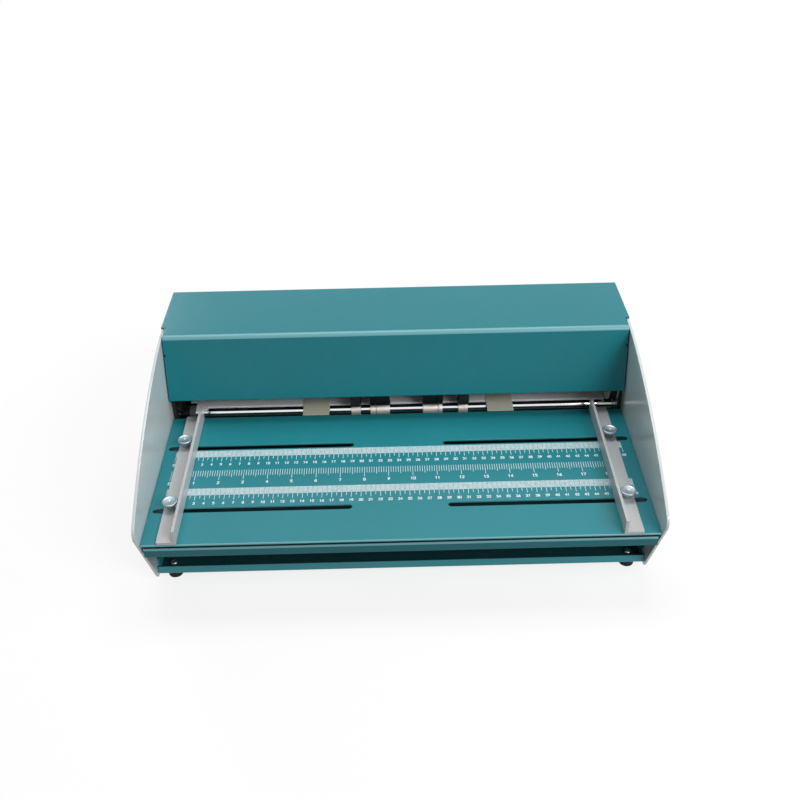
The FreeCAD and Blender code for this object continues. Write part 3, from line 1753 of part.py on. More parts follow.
def lower_set():
    parts = [shaft("lower_shaft", lower_z),
             gear("lower_gear", s.lower_teeth, lower_z, -gear_outer,
                  s.gear_width, s.gear_hub_length, 1)]
    parts.append(anvil_ring("left_anvil_ring", s.left_wheel_x, -1))
    parts.append(anvil_ring("right_anvil_ring", s.right_wheel_x, 1))
    parts.append(feed_ring("left_feed_ring", s.left_roller_x))
    parts.append(feed_ring("right_feed_ring", s.right_roller_x))
    parts.append(spacer("lower_spacer"))
    return parts


def drive():
    parts = [gear_motor(), motor_bracket(), drive_belt(), motor_shaft()]
    parts.append(toothed_pulley("motor_pulley", pulley_x, motor_y, motor_z,
                                s.motor_pulley_radius, s.motor_pulley_teeth,
                                s.motor_shaft_diameter / 2))
    parts.append(capacitor())
    nut_z = pan_bottom - s.capacitor_nut_height
    parts.append(hex_nut("capacitor_nut", s.capacitor_nut_radius, s.capacitor_stud_radius,
                         s.capacitor_nut_height, s.capacitor_x, capacitor_y, nut_z))
    parts += [power_inlet(), switch_housing(), switch_rocker()]
    return parts


def paper_path():
    return [
        guide_plate(),
        bridge_plate("left_bridge_plate", s.left_bridge_x, s.bridge_slot_offset),
        bridge_plate("right_bridge_plate", s.right_bridge_x, -s.bridge_slot_offset),
    ]


def guides():
    parts = []
    for name, side in (("left", -1), ("right", 1)):
        parts.append(side_guide(name + "_side_guide", side))
        parts.append(clamp_nuts(name + "_clamp_nuts", side))
        parts.append(thumb_screw("%s_front_thumb_screw" % name, side, front_slot_y))
        parts.append(thumb_screw("%s_rear_thumb_screw" % name, side, rear_slot_y))
    return parts


def check(parts):
    """Refuse to write anything unless every object and every sub-part is sound."""
    doc.recompute()
    for item in doc.Objects:
        if "Invalid" in item.State or "Error" in item.State:
            raise RuntimeError("object failed: " + item.Label)
    labels = [item.Label for item in parts]
    if len(set(labels)) != len(labels):
        raise RuntimeError("two sub-parts share a label")
    for item in parts:
        if item.Shape.isNull() or not item.Shape.isValid() or item.Shape.Volume <= 0:
            raise RuntimeError("bad shape: " + item.Label)


def write(parts):
    os.makedirs("parts", exist_ok=True)
    for item in parts:
        item.Shape.exportStep("parts/%s.step" % item.Label)


sub_parts = casing() + shaft_frame() + upper_set() + lower_set() + drive() + paper_path() + guides()
check(sub_parts)
write(sub_parts)
print(len(sub_parts), "sub-parts written")
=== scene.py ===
import json
import math

import bmesh
import bpy
from mathutils import Matrix, Vector

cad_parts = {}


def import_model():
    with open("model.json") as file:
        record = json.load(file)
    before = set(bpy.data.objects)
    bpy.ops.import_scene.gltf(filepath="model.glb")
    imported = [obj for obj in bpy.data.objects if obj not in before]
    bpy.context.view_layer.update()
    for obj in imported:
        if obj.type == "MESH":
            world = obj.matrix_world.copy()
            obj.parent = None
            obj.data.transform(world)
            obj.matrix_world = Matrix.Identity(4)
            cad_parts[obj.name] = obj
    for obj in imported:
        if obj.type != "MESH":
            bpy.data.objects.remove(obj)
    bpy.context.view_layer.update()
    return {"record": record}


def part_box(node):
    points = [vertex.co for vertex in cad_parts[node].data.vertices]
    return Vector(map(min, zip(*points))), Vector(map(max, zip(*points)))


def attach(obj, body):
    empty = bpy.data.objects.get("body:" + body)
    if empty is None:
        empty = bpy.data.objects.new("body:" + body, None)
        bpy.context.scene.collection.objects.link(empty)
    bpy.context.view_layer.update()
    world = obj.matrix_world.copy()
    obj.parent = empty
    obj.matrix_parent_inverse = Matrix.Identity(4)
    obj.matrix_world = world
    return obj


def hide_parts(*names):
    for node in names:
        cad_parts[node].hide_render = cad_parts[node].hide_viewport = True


# Desktop paper creasing machine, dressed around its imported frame.
# Metres throughout: X along the shafts, Y to the back, Z up from the floor.

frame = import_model()

MM = 0.001
CM = 0.01
INCH = 0.0254
WELD_DISTANCE = 0.000002
TABLE_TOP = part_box("feed_table")[1][2]
TABLE_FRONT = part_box("feed_table")[0][1]


def srgb(red, green, blue):
    """Linear colour from 8-bit screen values."""
    out = []
    for value in (red, green, blue):
        share = value / 255
        out.append(share / 12.92 if share <= 0.04045 else ((share + 0.055) / 1.055) ** 2.4)
    return (out[0], out[1], out[2], 1.0)


def scaled(color, factor):
    """A colour made darker or lighter by a factor."""
    return (min(color[0] * factor, 1.0), min(color[1] * factor, 1.0),
            min(color[2] * factor, 1.0), 1.0)


def towards(color, grey, share):
    """A colour moved part of the way to a grey."""
    return tuple(c + (grey - c) * share for c in color[:3]) + (1.0,)


class Recipe:
    """A material under construction, with short names for the nodes it uses."""

    def __init__(self, name):
        self.material = bpy.data.materials.new(name)
        self.material.use_nodes = True
        self.tree = self.material.node_tree
        self.tree.nodes.clear()
        self.output = self.tree.nodes.new("ShaderNodeOutputMaterial")
        self.shader = self.tree.nodes.new("ShaderNodeBsdfPrincipled")
        self.link(self.shader.outputs["BSDF"], self.output.inputs["Surface"])
        self.place = self.tree.nodes.new("ShaderNodeTexCoord").outputs["Object"]

    def link(self, source, target):
        self.tree.links.new(source, target)

    def stretched(self, x, y, z):
        """The object's own coordinates, scaled along each axis."""
        node = self.tree.nodes.new("ShaderNodeMapping")
        node.inputs["Scale"].default_value = (x, y, z)
        self.link(self.place, node.inputs["Vector"])
        return node.outputs["Vector"]

    def noise(self, scale, detail=3.0, rough=0.55, vector=None, distortion=0.0):
        node = self.tree.nodes.new("ShaderNodeTexNoise")
        node.inputs["Scale"].default_value = scale
        node.inputs["Detail"].default_value = detail
        node.inputs["Roughness"].default_value = rough
        node.inputs["Distortion"].default_value = distortion
        self.link(vector or self.place, node.inputs["Vector"])
        return node.outputs["Fac"]

    def outwards(self, direction):
        """How far a spot lies out along a direction given by its y and z."""
        node = self.tree.nodes.new("ShaderNodeVectorMath")
        node.operation = "DOT_PRODUCT"
        node.inputs[1].default_value = (0.0, direction[0], direction[1])
        self.link(self.place, node.inputs[0])
        return node.outputs["Value"]

    def ramp(self, source, low, high, from_low=0.3, from_high=0.7):
        """A value spread between two numbers."""
        node = self.tree.nodes.new("ShaderNodeMapRange")
        node.inputs["From Min"].default_value = from_low
        node.inputs["From Max"].default_value = from_high
        node.inputs["To Min"].default_value = low
        node.inputs["To Max"].default_value = high
        self.link(source, node.inputs["Value"])
        return node.outputs["Result"]

    def blend(self, source, first, second, from_low=0.3, from_high=0.7):
        """A colour spread between two, each given as a colour or as a socket."""
        node = self.tree.nodes.new("ShaderNodeMix")
        node.data_type = "RGBA"
        self.link(self.ramp(source, 0.0, 1.0, from_low, from_high), node.inputs["Factor"])
        sockets = [s for s in node.inputs if s.type == "RGBA"]
        for value, socket in zip((first, second), sockets):
            if isinstance(value, tuple):
                socket.default_value = value
            else:
                self.link(value, socket)
        return [s for s in node.outputs if s.type == "RGBA"][0]

    def bumps(self, *layers):
        """Stack (height socket, depth in metres) bumps on the shader's normal."""
        normal = None
        for height, depth in layers:
            node = self.tree.nodes.new("ShaderNodeBump")
            node.inputs["Strength"].default_value = 1.0
            node.inputs["Distance"].default_value = depth
            self.link(height, node.inputs["Height"])
            if normal is not None:
                self.link(normal, node.inputs["Normal"])
            normal = node.outputs["Normal"]
        self.link(normal, self.shader.inputs["Normal"])

    def set(self, **values):
        """Set shader inputs by name, with underscores for spaces."""
        for name, value in values.items():
            self.shader.inputs[name.replace("_", " ")].default_value = value


DUST_GREY = 0.6
# Grey that edge paint drifts to, and how far: wear and a painted edge highlight
WEAR_AND_HIGHLIGHT_GREY = 0.62
WEAR_AND_HIGHLIGHT_SHARE = 0.22


def paint(name, color, roughness, coat, mottling=0.05, peel=0.00002, specks=0.0,
          dust=0.012, bend=None, gloss=0.45):
    """Sprayed enamel: drifting shade, dust, rub marks and orange peel.

    bend is ((y, z) of a bend's outward direction, how far out the pale zone starts and is
    full, and its colour), for a sheet with a painted highlight along that bend.
    """
    m = Recipe(name)
    wide = m.noise(7.0, 4.0)
    body = m.blend(wide, scaled(color, 1 - mottling), scaled(color, 1 + mottling))
    film = m.noise(60.0, 6.0, 0.7)
    body = m.blend(film, body, towards(color, DUST_GREY, dust), 0.5, 0.85)
    if specks:
        grit = m.noise(1100.0, 2.0)
        body = m.blend(grit, body, scaled(color, 1 - specks), 0.60, 0.70)
    # Painted highlight: the paint turns pale in a band along the bend
    if bend is not None:
        direction, start, full, worn = bend
        body = m.blend(m.outwards(direction), body, worn, start, full)
    m.link(body, m.shader.inputs["Base Color"])
    smear = m.noise(30.0, 5.0, 0.65, m.stretched(1.0, 0.25, 1.0))
    m.link(m.ramp(smear, roughness * 0.92, roughness * 1.12), m.shader.inputs["Roughness"])
    m.bumps((m.noise(330.0, 2.0, 0.5), peel), (m.noise(2200.0, 2.0, 0.5), peel * 0.25))
    m.set(Coat_Weight=coat, Coat_Roughness=roughness * 0.35, IOR=1.5,
          Specular_IOR_Level=gloss)
    return m.material


def rubbed(name, color, roughness):
    """Paint on a bent or cut edge, paler, patchy and a little duller: wear and a painted edge
    highlight.
    """
    m = Recipe(name)
    patches = m.noise(180.0, 5.0, 0.7)
    pale = towards(color, WEAR_AND_HIGHLIGHT_GREY, WEAR_AND_HIGHLIGHT_SHARE)
    m.link(m.blend(patches, color, pale, 0.42, 0.66), m.shader.inputs["Base Color"])
    m.link(m.ramp(patches, roughness * 0.9, roughness * 1.4), m.shader.inputs["Roughness"])
    m.bumps((m.noise(900.0, 3.0), 0.00002))
    m.set(IOR=1.5)
    return m.material


def metal(name, color, roughness, grain=(1, 1, 1), grain_scale=900.0, depth=0.000006,
          stain=0.08, metallic=1.0, gloss=0.5):
    """Bare or plated metal with a directional grain, fine pits and slight staining."""
    m = Recipe(name)
    cloud = m.noise(26.0, 5.0, 0.6)
    body = m.blend(cloud, scaled(color, 1 - stain), scaled(color, 1 + stain * 0.4))
    spots = m.noise(420.0, 3.0, 0.7)
    body = m.blend(spots, body, scaled(color, 1 - stain * 1.8), 0.66, 0.78)
    m.link(body, m.shader.inputs["Base Color"])
    lines = m.noise(grain_scale, 3.0, 0.6, m.stretched(*grain))
    m.link(m.ramp(lines, roughness * 0.75, roughness * 1.35), m.shader.inputs["Roughness"])
    m.bumps((lines, depth))
    m.set(Metallic=metallic, Specular_IOR_Level=gloss)
    return m.material


def plastic(name, color, roughness, texture=0.00002, mottling=0.06):
    """Moulded plastic with a fine spark texture and faint flow marks."""
    m = Recipe(name)
    flow = m.noise(40.0, 4.0, 0.6, m.stretched(1.0, 1.0, 0.3), 1.0)
    body = m.blend(flow, scaled(color, 1 - mottling), scaled(color, 1 + mottling))
    m.link(body, m.shader.inputs["Base Color"])
    fine = m.noise(2400.0, 2.0)
    m.link(m.ramp(fine, roughness * 0.88, roughness * 1.12), m.shader.inputs["Roughness"])
    m.bumps((fine, texture))
    m.set(IOR=1.48)
    return m.material


def soft_rubber(name, color, roughness):
    """Rubber with a dusty bloom on a slightly rough skin."""
    m = Recipe(name)
    dust = m.noise(140.0, 5.0, 0.65)
    body = m.blend(dust, color, scaled(color, 2.4), 0.45, 0.8)
    m.link(body, m.shader.inputs["Base Color"])
    skin = m.noise(1800.0, 3.0)
    m.link(m.ramp(dust, roughness * 0.85, min(roughness * 1.15, 1.0)),
           m.shader.inputs["Roughness"])
    m.bumps((skin, 0.00004))
    m.set(IOR=1.45, Specular_IOR_Level=0.2)
    return m.material


HOOD_TEAL = (0.001, 0.188, 0.226, 1)
# Pale teal of the painted highlight along the bends of the hood, table and rail
BEND_HIGHLIGHT_TEAL = (0.155, 0.390, 0.430, 1)
# A darker copy of the table's teal on the rail's front: painted shade under the table's edge
RAIL_SHADE_TEAL = (0.002, 0.125, 0.148, 1)
PAN_TEAL = (0.030, 0.290, 0.340, 1)
# Near-black teal painted as shade on the pan's floor and the back of its lip
PAN_SHADE = (0.003, 0.048, 0.058, 1)
TABLE_TEAL = (0.015, 0.222, 0.262, 1)
PALE_GREY = (0.60, 0.66, 0.66, 1)
GUIDE_GREY = (0.50, 0.505, 0.51, 1)

finishes = {
    "hood_paint": paint("hood_paint", HOOD_TEAL, 0.24, 0.0, 0.03, gloss=0.34,
                        bend=((-0.610, 0.792), 0.11375, 0.11400, BEND_HIGHLIGHT_TEAL)),
    "table_paint": paint("table_paint", TABLE_TEAL, 0.30, 0.0, 0.04,
                         bend=((-0.707, 0.707), 0.17325, 0.17350, BEND_HIGHLIGHT_TEAL)),
    "side_paint": paint("side_paint", PALE_GREY, 0.20, 0.1, 0.03),
    "panel_paint": paint("panel_paint", TABLE_TEAL, 0.34, 0.0, 0.05),
    "rail_paint": paint("rail_paint", RAIL_SHADE_TEAL, 0.30, 0.0, 0.05, gloss=0.3,
                        bend=((-0.866, 0.500), 0.17675, 0.17690, BEND_HIGHLIGHT_TEAL)),
    "pan_paint": paint("pan_paint", PAN_TEAL, 0.34, 0.0, 0.05),
    # Near-black paint for the hood's inside and the rail's top: painted shade
    "painted_shade_dark": paint("painted_shade_dark", srgb(12, 20, 22), 0.6, 0.0, 0.10, dust=0.02),
    "pan_painted_shade": paint("pan_painted_shade", PAN_SHADE, 0.55, 0.0, 0.10, dust=0.02),
    "guide_paint": paint("guide_paint", GUIDE_GREY, 0.38, 0.2, 0.04, specks=0.2),
    "zinc_sheet": metal("zinc_sheet", (0.92, 0.93, 0.96, 1), 0.38, (1, 14, 14), 700.0,
                        metallic=0.15),
    "turned_ring": metal("turned_ring", (0.86, 0.81, 0.77, 1), 0.50, (60, 1, 1), 400.0,
                         0.000004, 0.06, metallic=0.7),
    "frame_paint": paint("frame_paint", srgb(38, 38, 40), 0.4, 0.0, 0.06),
    "bridge_coat": paint("bridge_coat", srgb(214, 214, 194), 0.42, 0.1, 0.05, specks=0.15),
    "ground_steel": metal("ground_steel", (0.83, 0.83, 0.84, 1), 0.06, (1, 40, 40), 260.0,
                          0.0000002, 0.05),
    "bearing_steel": metal("bearing_steel", (0.52, 0.53, 0.55, 1), 0.28, (1, 6, 6)),
    "black_steel": metal("black_steel", (0.010, 0.010, 0.010, 1), 0.40, (8, 1, 1), 500.0,
                         metallic=0.1, gloss=0.16),
    # A near-white, non-metallic copy of the zinc sheet for the exit plate: painted light
    "painted_lit_sheet": metal("painted_lit_sheet", (0.95, 0.95, 0.98, 1), 0.42, (1, 14, 14), 700.0,
                          stain=0.03, metallic=0.0, gloss=0.6),
    "hub_plastic": plastic("hub_plastic", srgb(92, 94, 94), 0.45),
    "rubber": soft_rubber("rubber", (0.016, 0.016, 0.017, 1), 0.72),
    "pulley_plastic": plastic("pulley_plastic", srgb(198, 196, 184), 0.40),
    "motor_paint": paint("motor_paint", srgb(40, 42, 44), 0.45, 0.1, 0.08),
    "can_aluminium": metal("can_aluminium", (0.78, 0.79, 0.80, 1), 0.32, (1, 1, 9), 800.0),
    "screw_steel": metal("screw_steel", (0.62, 0.63, 0.66, 1), 0.26),
    "thumb_chrome": metal("thumb_chrome", (0.40, 0.47, 0.51, 1), 0.36, (1, 1, 1), 500.0,
                          0.000002, 0.05, metallic=0.75),
    "black_plastic": plastic("black_plastic", srgb(24, 24, 26), 0.5),
    "rocker_plastic": plastic("rocker_plastic", srgb(20, 20, 22), 0.28, 0.00001),
}
# Paint on the rounded edges, paler and patchy: wear and a painted edge highlight
worn_and_highlit_edges = {
    "hood_paint": rubbed("hood_edge", HOOD_TEAL, 0.30),
    "table_paint": rubbed("table_edge", TABLE_TEAL, 0.38),
    "side_paint": rubbed("side_edge", PALE_GREY, 0.36),
    "panel_paint": rubbed("panel_edge", TABLE_TEAL, 0.40),
    "guide_paint": rubbed("guide_edge", GUIDE_GREY, 0.40),
}

# What each node is made of and which body it belongs to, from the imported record
slot_of = {row["node"]: row["material_slot"] for row in frame["record"]["subparts"]}
body_of = {node: body for body, nodes in frame["record"]["behaviour"]["bodies"].items()
           for node in nodes}
for node, slot in slot_of.items():
    target = bpy.data.objects[node]
    for entry in target.material_slots:
        entry.material = finishes[slot]


def piece(name, mesh, materials, body):
    """A visible object made of a mesh, riding on a body and filling a material slot."""
    obj = bpy.data.objects.new(name, mesh)
    bpy.context.scene.collection.objects.link(obj)
    mesh.materials.clear()
    for material in materials:
        mesh.materials.append(material)
    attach(obj, body)
    return obj


def finished_mesh(bm, name, sharp_angle=32.0):
    """Mesh from a bmesh, smooth everywhere but across its sharp edges."""
    limit = math.radians(sharp_angle)
    bmesh.ops.recalc_face_normals(bm, faces=list(bm.faces))
    for face in bm.faces:
        face.smooth = True
    for edge in bm.edges:
        edge.smooth = len(edge.link_faces) == 2 and edge.calc_face_angle(0.0) < limit
    mesh = bpy.data.meshes.new(name)
    bm.to_mesh(mesh)
    bm.free()
    return mesh


FLAT_FACE_WEIGHT = 60
BEVEL_SEGMENTS = 2
HARD_ANGLE = math.radians(30.0)
COPLANAR_ANGLE = math.radians(0.4)


def even_shading(obj):
    """Keep wide flat faces flat next to their narrow rounded edges."""
    shading = obj.modifiers.new("even_shading", "WEIGHTED_NORMAL")
    shading.keep_sharp = True
    shading.weight = FLAT_FACE_WEIGHT
    shaped = obj.evaluated_get(bpy.context.evaluated_depsgraph_get())
    mesh = bpy.data.meshes.new_from_object(shaped)
    obj.modifiers.clear()
    obj.data = mesh


def eased(node, width, reshape=None):
    """Stand-in for a node with its hard edges rounded, and any paint made paler there as wear
    and painted edge highlight.

    Every vertex stays within the node's own box.
    """
    source = bpy.data.objects[node]
    slot = slot_of[node]
    bm = bmesh.new()
    bm.from_mesh(source.data)
    bm.transform(source.matrix_world)
    bmesh.ops.remove_doubles(bm, verts=list(bm.verts), dist=WELD_DISTANCE)
    bmesh.ops.dissolve_limit(bm, angle_limit=COPLANAR_ANGLE, verts=list(bm.verts),
                             edges=list(bm.edges))
    hard = [e for e in bm.edges
            if len(e.link_faces) == 2 and e.calc_face_angle(0.0) > HARD_ANGLE]
    bmesh.ops.bevel(bm, geom=hard, offset=width, offset_type="OFFSET",
                    segments=BEVEL_SEGMENTS, profile=0.5, affect="EDGES",
                    clamp_overlap=False, material=1 if slot in worn_and_highlit_edges else 0)
    if reshape is not None:
        reshape(bm)
    low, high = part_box(node)
    for vert in bm.verts:
        vert.co = [min(max(vert.co[i], low[i]), high[i]) for i in range(3)]
    mesh = finished_mesh(bm, node + "_eased")
    materials = [finishes[slot]]
    if slot in worn_and_highlit_edges:
        materials.append(worn_and_highlit_edges[slot])
    obj = piece(node + "_eased", mesh, materials, body_of[node])
    even_shading(obj)
    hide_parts(node)


# How far in each node's edges are rounded, in metres
EASED_EDGES = {
    "hood": 0.0004,
    "feed_table": 0.00045,
    "front_rail": 0.0004,
    "table_cross_rail": 0.0003,
    "base_pan": 0.0004,
    "rear_panel": 0.0003,
    "left_side_plate": 0.0006,
    "right_side_plate": 0.0006,
    "left_side_guide": 0.0004,
    "right_side_guide": 0.0004,
    "left_bearing_plate": 0.0004,
    "right_bearing_plate": 0.0004,
    "left_bridge_plate": 0.0003,
    "right_bridge_plate": 0.0003,
    "exit_guide_plate": 0.0002,
    "motor_bracket": 0.0003,
    "upper_tie_bar": 0.0004,
    "lower_tie_bar": 0.0004,
    "gear_motor": 0.0008,
    "power_inlet": 0.0004,
    "switch_housing": 0.0003,
    "switch_rocker": 0.0003,
    "front_left_foot": 0.0006,
    "front_right_foot": 0.0006,
    "rear_left_foot": 0.0006,
    "rear_right_foot": 0.0006,
    "left_creasing_wheel": 0.0002,
    "right_creasing_wheel": 0.0002,
    "left_anvil_ring": 0.0002,
    "right_anvil_ring": 0.0002,
}
# The hood's front bend, as (y, z) centres: the solid's, and the photograph's tighter one
BEND_CENTRE = (0.06759, 0.17951)
BEND_RADIUS = 0.0120
TIGHT_BEND_CENTRE = (0.06231, 0.18637)
TIGHT_BEND_RADIUS = 0.0053
# Degrees at which the bend meets the leaning front and the falling roof, with a margin
HOOD_FRONT_LEAN = 13.1
HOOD_ROOF_FALL = 1.7
BEND_MARGIN = 0.3
# How far from the bend's outer surface a vertex still belongs to its sheet
BEND_INNER_DEPTH = -0.0022
BEND_OUTER_DEPTH = 0.0004


def tighter_bend(bm):
    """Draw the hood's front bend out to the smaller radius seen in the photograph."""
    crown = max(vert.co.z for vert in bm.verts)
    low = math.radians(HOOD_FRONT_LEAN - BEND_MARGIN)
    high = math.radians(90 - HOOD_ROOF_FALL + BEND_MARGIN)
    for vert in bm.verts:
        back = BEND_CENTRE[0] - vert.co.y
        rise = vert.co.z - BEND_CENTRE[1]
        angle = math.atan2(rise, back)
        depth = math.hypot(back, rise) - BEND_RADIUS
        if low <= angle <= high and BEND_INNER_DEPTH < depth < BEND_OUTER_DEPTH:
            reach = TIGHT_BEND_RADIUS + depth
            vert.co.y = TIGHT_BEND_CENTRE[0] - reach * math.cos(angle)
            vert.co.z = min(TIGHT_BEND_CENTRE[1] + reach * math.sin(angle), crown)


for node, width in EASED_EDGES.items():
    eased(node, width, reshape=tighter_bend if node == "hood" else None)


def refinish(name, first, second=None, chosen=None):
    """Give a piece its own finish, and its chosen faces a second one."""
    mesh = bpy.data.objects[name].data
    mesh.materials[0] = finishes[first]
    if second is None:
        return
    mesh.materials.append(finishes[second])
    last = len(mesh.materials) - 1
    for face in mesh.polygons:
        if face.material_index == 0 and chosen(face):
            face.material_index = last


PAN_LIP_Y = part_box("base_pan")[0][1]
PAN_LIP_REACH = 0.003
HOOD_MIDDLE = Vector((0, 0.105, 0.14))


def rail_top(face):
    return face.normal.z > 0.85


def hood_inner_side(face):
    return abs(face.normal.x) < 0.5 and face.normal.dot(face.center - HOOD_MIDDLE) < 0


def pan_inner_side(face):
    """The pan's floor, and the back of its front lip."""
    behind_lip = face.center.y < PAN_LIP_Y + PAN_LIP_REACH
    return face.normal.z > 0.5 or (face.normal.y > 0.5 and behind_lip)


for ring in ("left_anvil_ring_eased", "right_anvil_ring_eased", "left_feed_ring",
             "right_feed_ring"):
    refinish(ring, "turned_ring")
# The exit plate gets the near-white copy of the zinc sheet as painted light
refinish("exit_guide_plate_eased", "painted_lit_sheet")
refinish("upper_shaft", "black_steel")
# Painted shade: near-black on the rail's top under the table's edge, and on the hood's inside
# faces
refinish("front_rail_eased", "rail_paint", "painted_shade_dark", rail_top)
refinish("hood_eased", "hood_paint", "painted_shade_dark", hood_inner_side)
# Painted shade on the pan's floor and the back of its front lip
refinish("base_pan_eased", "pan_paint", "pan_painted_shade", pan_inner_side)


def turned_body(bm, profile, centre, steps, ripple=None):
    """Closed body turned about Z from (radius, height) points that start and end at 0.

    ripple(index, angle) gives an extra radius for a profile point at an angle.
    """
    rings = []
    for index, (radius, height) in enumerate(profile):
        if radius == 0:
            rings.append([bm.verts.new((centre[0], centre[1], centre[2] + height))])
            continue
        ring = []
        for step in range(steps):
            angle = 2 * math.pi * step / steps
            reach = radius + (ripple(index, angle) if ripple else 0.0)
            ring.append(bm.verts.new((centre[0] + reach * math.cos(angle),
                                      centre[1] + reach * math.sin(angle),
                                      centre[2] + height)))
        rings.append(ring)
    for low, high in zip(rings, rings[1:]):
        for step in range(steps):
            after = (step + 1) % steps
            corners = [low[step % len(low)], low[after % len(low)],
                       high[after % len(high)], high[step % len(high)]]
            # A ring of one vertex is a tip, where two of the four corners are the same
            bm.faces.new([v for i, v in enumerate(corners) if v not in corners[:i]])


THUMB_HEIGHT = 9.8 * MM
THUMB_RADIUS = 8.0 * MM
KNURLS = 48
KNURL_DEPTH = 0.22 * MM
KNURL_VALLEY = -0.4
STEPS_PER_KNURL = 4


def thumb_screw(node):
    """Chromed screw: knurled rim, dished crown with a turned centre, taper and collar."""
    low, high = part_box(node)
    seat = high[2] - THUMB_HEIGHT
    tail = low[2] - seat
    centre = ((low[0] + high[0]) / 2, (low[1] + high[1]) / 2, seat)
    inner = THUMB_RADIUS - KNURL_DEPTH
    profile = [
        (0, tail),
        (2.1 * MM, tail),
        (2.5 * MM, tail + 0.4 * MM),
        (2.5 * MM, -0.02 * MM),
        (3.7 * MM, -0.02 * MM),
        (4.0 * MM, 0.3 * MM),
        (4.0 * MM, 1.9 * MM),
        (4.2 * MM, 2.3 * MM),
        (7.1 * MM, 6.75 * MM),
        (7.45 * MM, 7.15 * MM),
        (inner, 7.6 * MM),
        (inner, 7.9 * MM),
        (inner, 9.0 * MM),
        (inner - 0.05 * MM, 9.3 * MM),
        (7.2 * MM, THUMB_HEIGHT - 0.06 * MM),
        (6.9 * MM, THUMB_HEIGHT),
        (6.5 * MM, THUMB_HEIGHT - 0.03 * MM),
        (6.1 * MM, 9.45 * MM),
        (5.4 * MM, 9.25 * MM),
        (1.5 * MM, 9.2 * MM),
        (0.9 * MM, 9.05 * MM),
        (0.35 * MM, 8.75 * MM),
        (0, 8.7 * MM),
    ]
    knurled_points = (11, 12)

    def ripple(index, angle):
        if index not in knurled_points:
            return 0.0
        return KNURL_DEPTH * max(math.cos(angle * KNURLS), KNURL_VALLEY)

    bm = bmesh.new()
    turned_body(bm, profile, centre, KNURLS * STEPS_PER_KNURL, ripple)
    mesh = finished_mesh(bm, node + "_turned", 38.0)
    obj = piece(node + "_turned", mesh, [finishes["thumb_chrome"]], body_of[node])
    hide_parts(node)


for thumb in ("left_front", "left_rear", "right_front", "right_rear"):
    thumb_screw(thumb + "_thumb_screw")


def loose_parts(node):
    """Bounds of each separate solid in a node's mesh, as sorted (low, high) pairs."""
    source = bpy.data.objects[node]
    bm = bmesh.new()
    bm.from_mesh(source.data)
    bm.transform(source.matrix_world)
    bmesh.ops.remove_doubles(bm, verts=list(bm.verts), dist=WELD_DISTANCE)
    waiting = set(bm.verts)
    parts = []
    while waiting:
        reached = {waiting.pop()}
        frontier = list(reached)
        while frontier:
            for edge in frontier.pop().link_edges:
                for vert in edge.verts:
                    if vert in waiting:
                        waiting.discard(vert)
                        reached.add(vert)
                        frontier.append(vert)
        spots = [vert.co for vert in reached]
        low = Vector([min(spot[i] for spot in spots) for i in range(3)])
        high = Vector([max(spot[i] for spot in spots) for i in range(3)])
        parts.append((low, high))
    bm.free()
    return sorted(parts, key=lambda part: tuple(round(c, 5) for c in part[0]))


HEAD_STEPS = 48
HEAD_SINK = 0.00001
# The cross recess, as shares of the head's radius, of its own mouth and of the head's height
CROSS_REACH = 0.52
CROSS_ARM = 0.13
CROSS_TAPER = 0.62
CROSS_FOOT = 0.35
CROWN_TOLERANCE = 0.000001


def cross_head(radius, height, shank_radius, shank_length):
    """Pan-head screw along Z with a tapered cross recess in its crown."""
    bm = bmesh.new()
    profile = [
        (0, -shank_length),
        (shank_radius, -shank_length),
        (shank_radius, -HEAD_SINK),
        (radius * 0.97, -HEAD_SINK),
        (radius, height * 0.08),
        (radius, height * 0.40),
        (radius * 0.95, height * 0.66),
        (radius * 0.86, height * 0.85),
        (radius * 0.74, height * 0.97),
        (radius * 0.62, height),
    ]
    turned_body(bm, profile, (0, 0, 0), HEAD_STEPS)
    reach = radius * CROSS_REACH
    arm = radius * CROSS_ARM
    outline = []
    for quarter in range(4):
        turn = Matrix.Rotation(math.radians(90 * quarter), 3, "Z")
        outline += [turn @ Vector(spot) for spot in ((reach, -arm, 0), (reach, arm, 0),
                                                     (arm, arm, 0))]
    mouth = [bm.verts.new((spot.x, spot.y, height)) for spot in outline]
    foot = [bm.verts.new((spot.x * CROSS_TAPER, spot.y * CROSS_TAPER, height * CROSS_FOOT))
            for spot in outline]
    for i in range(len(mouth)):
        j = (i + 1) % len(mouth)
        bm.edges.new((mouth[i], mouth[j]))
        bm.faces.new([mouth[j], mouth[i], foot[i], foot[j]])
    bm.faces.new(foot)
    crown = [edge for edge in bm.edges if len(edge.link_faces) == 1
             and all(abs(vert.co.z - height) < CROWN_TOLERANCE for vert in edge.verts)]
    bmesh.ops.triangle_fill(bm, use_beauty=True, edges=crown, normal=(0, 0, 1))
    mesh = bpy.data.meshes.new("cross_head")
    bm.to_mesh(mesh)
    bm.free()
    return mesh


# Turn of the first screw's cross in radians, and how much further each next one is turned
FIRST_CROSS_TURN = 0.7
NEXT_CROSS_TURN = 1.9
OUTWARD = {"+X": Vector((1, 0, 0)), "-X": Vector((-1, 0, 0)), "+Z": Vector((0, 0, 1))}


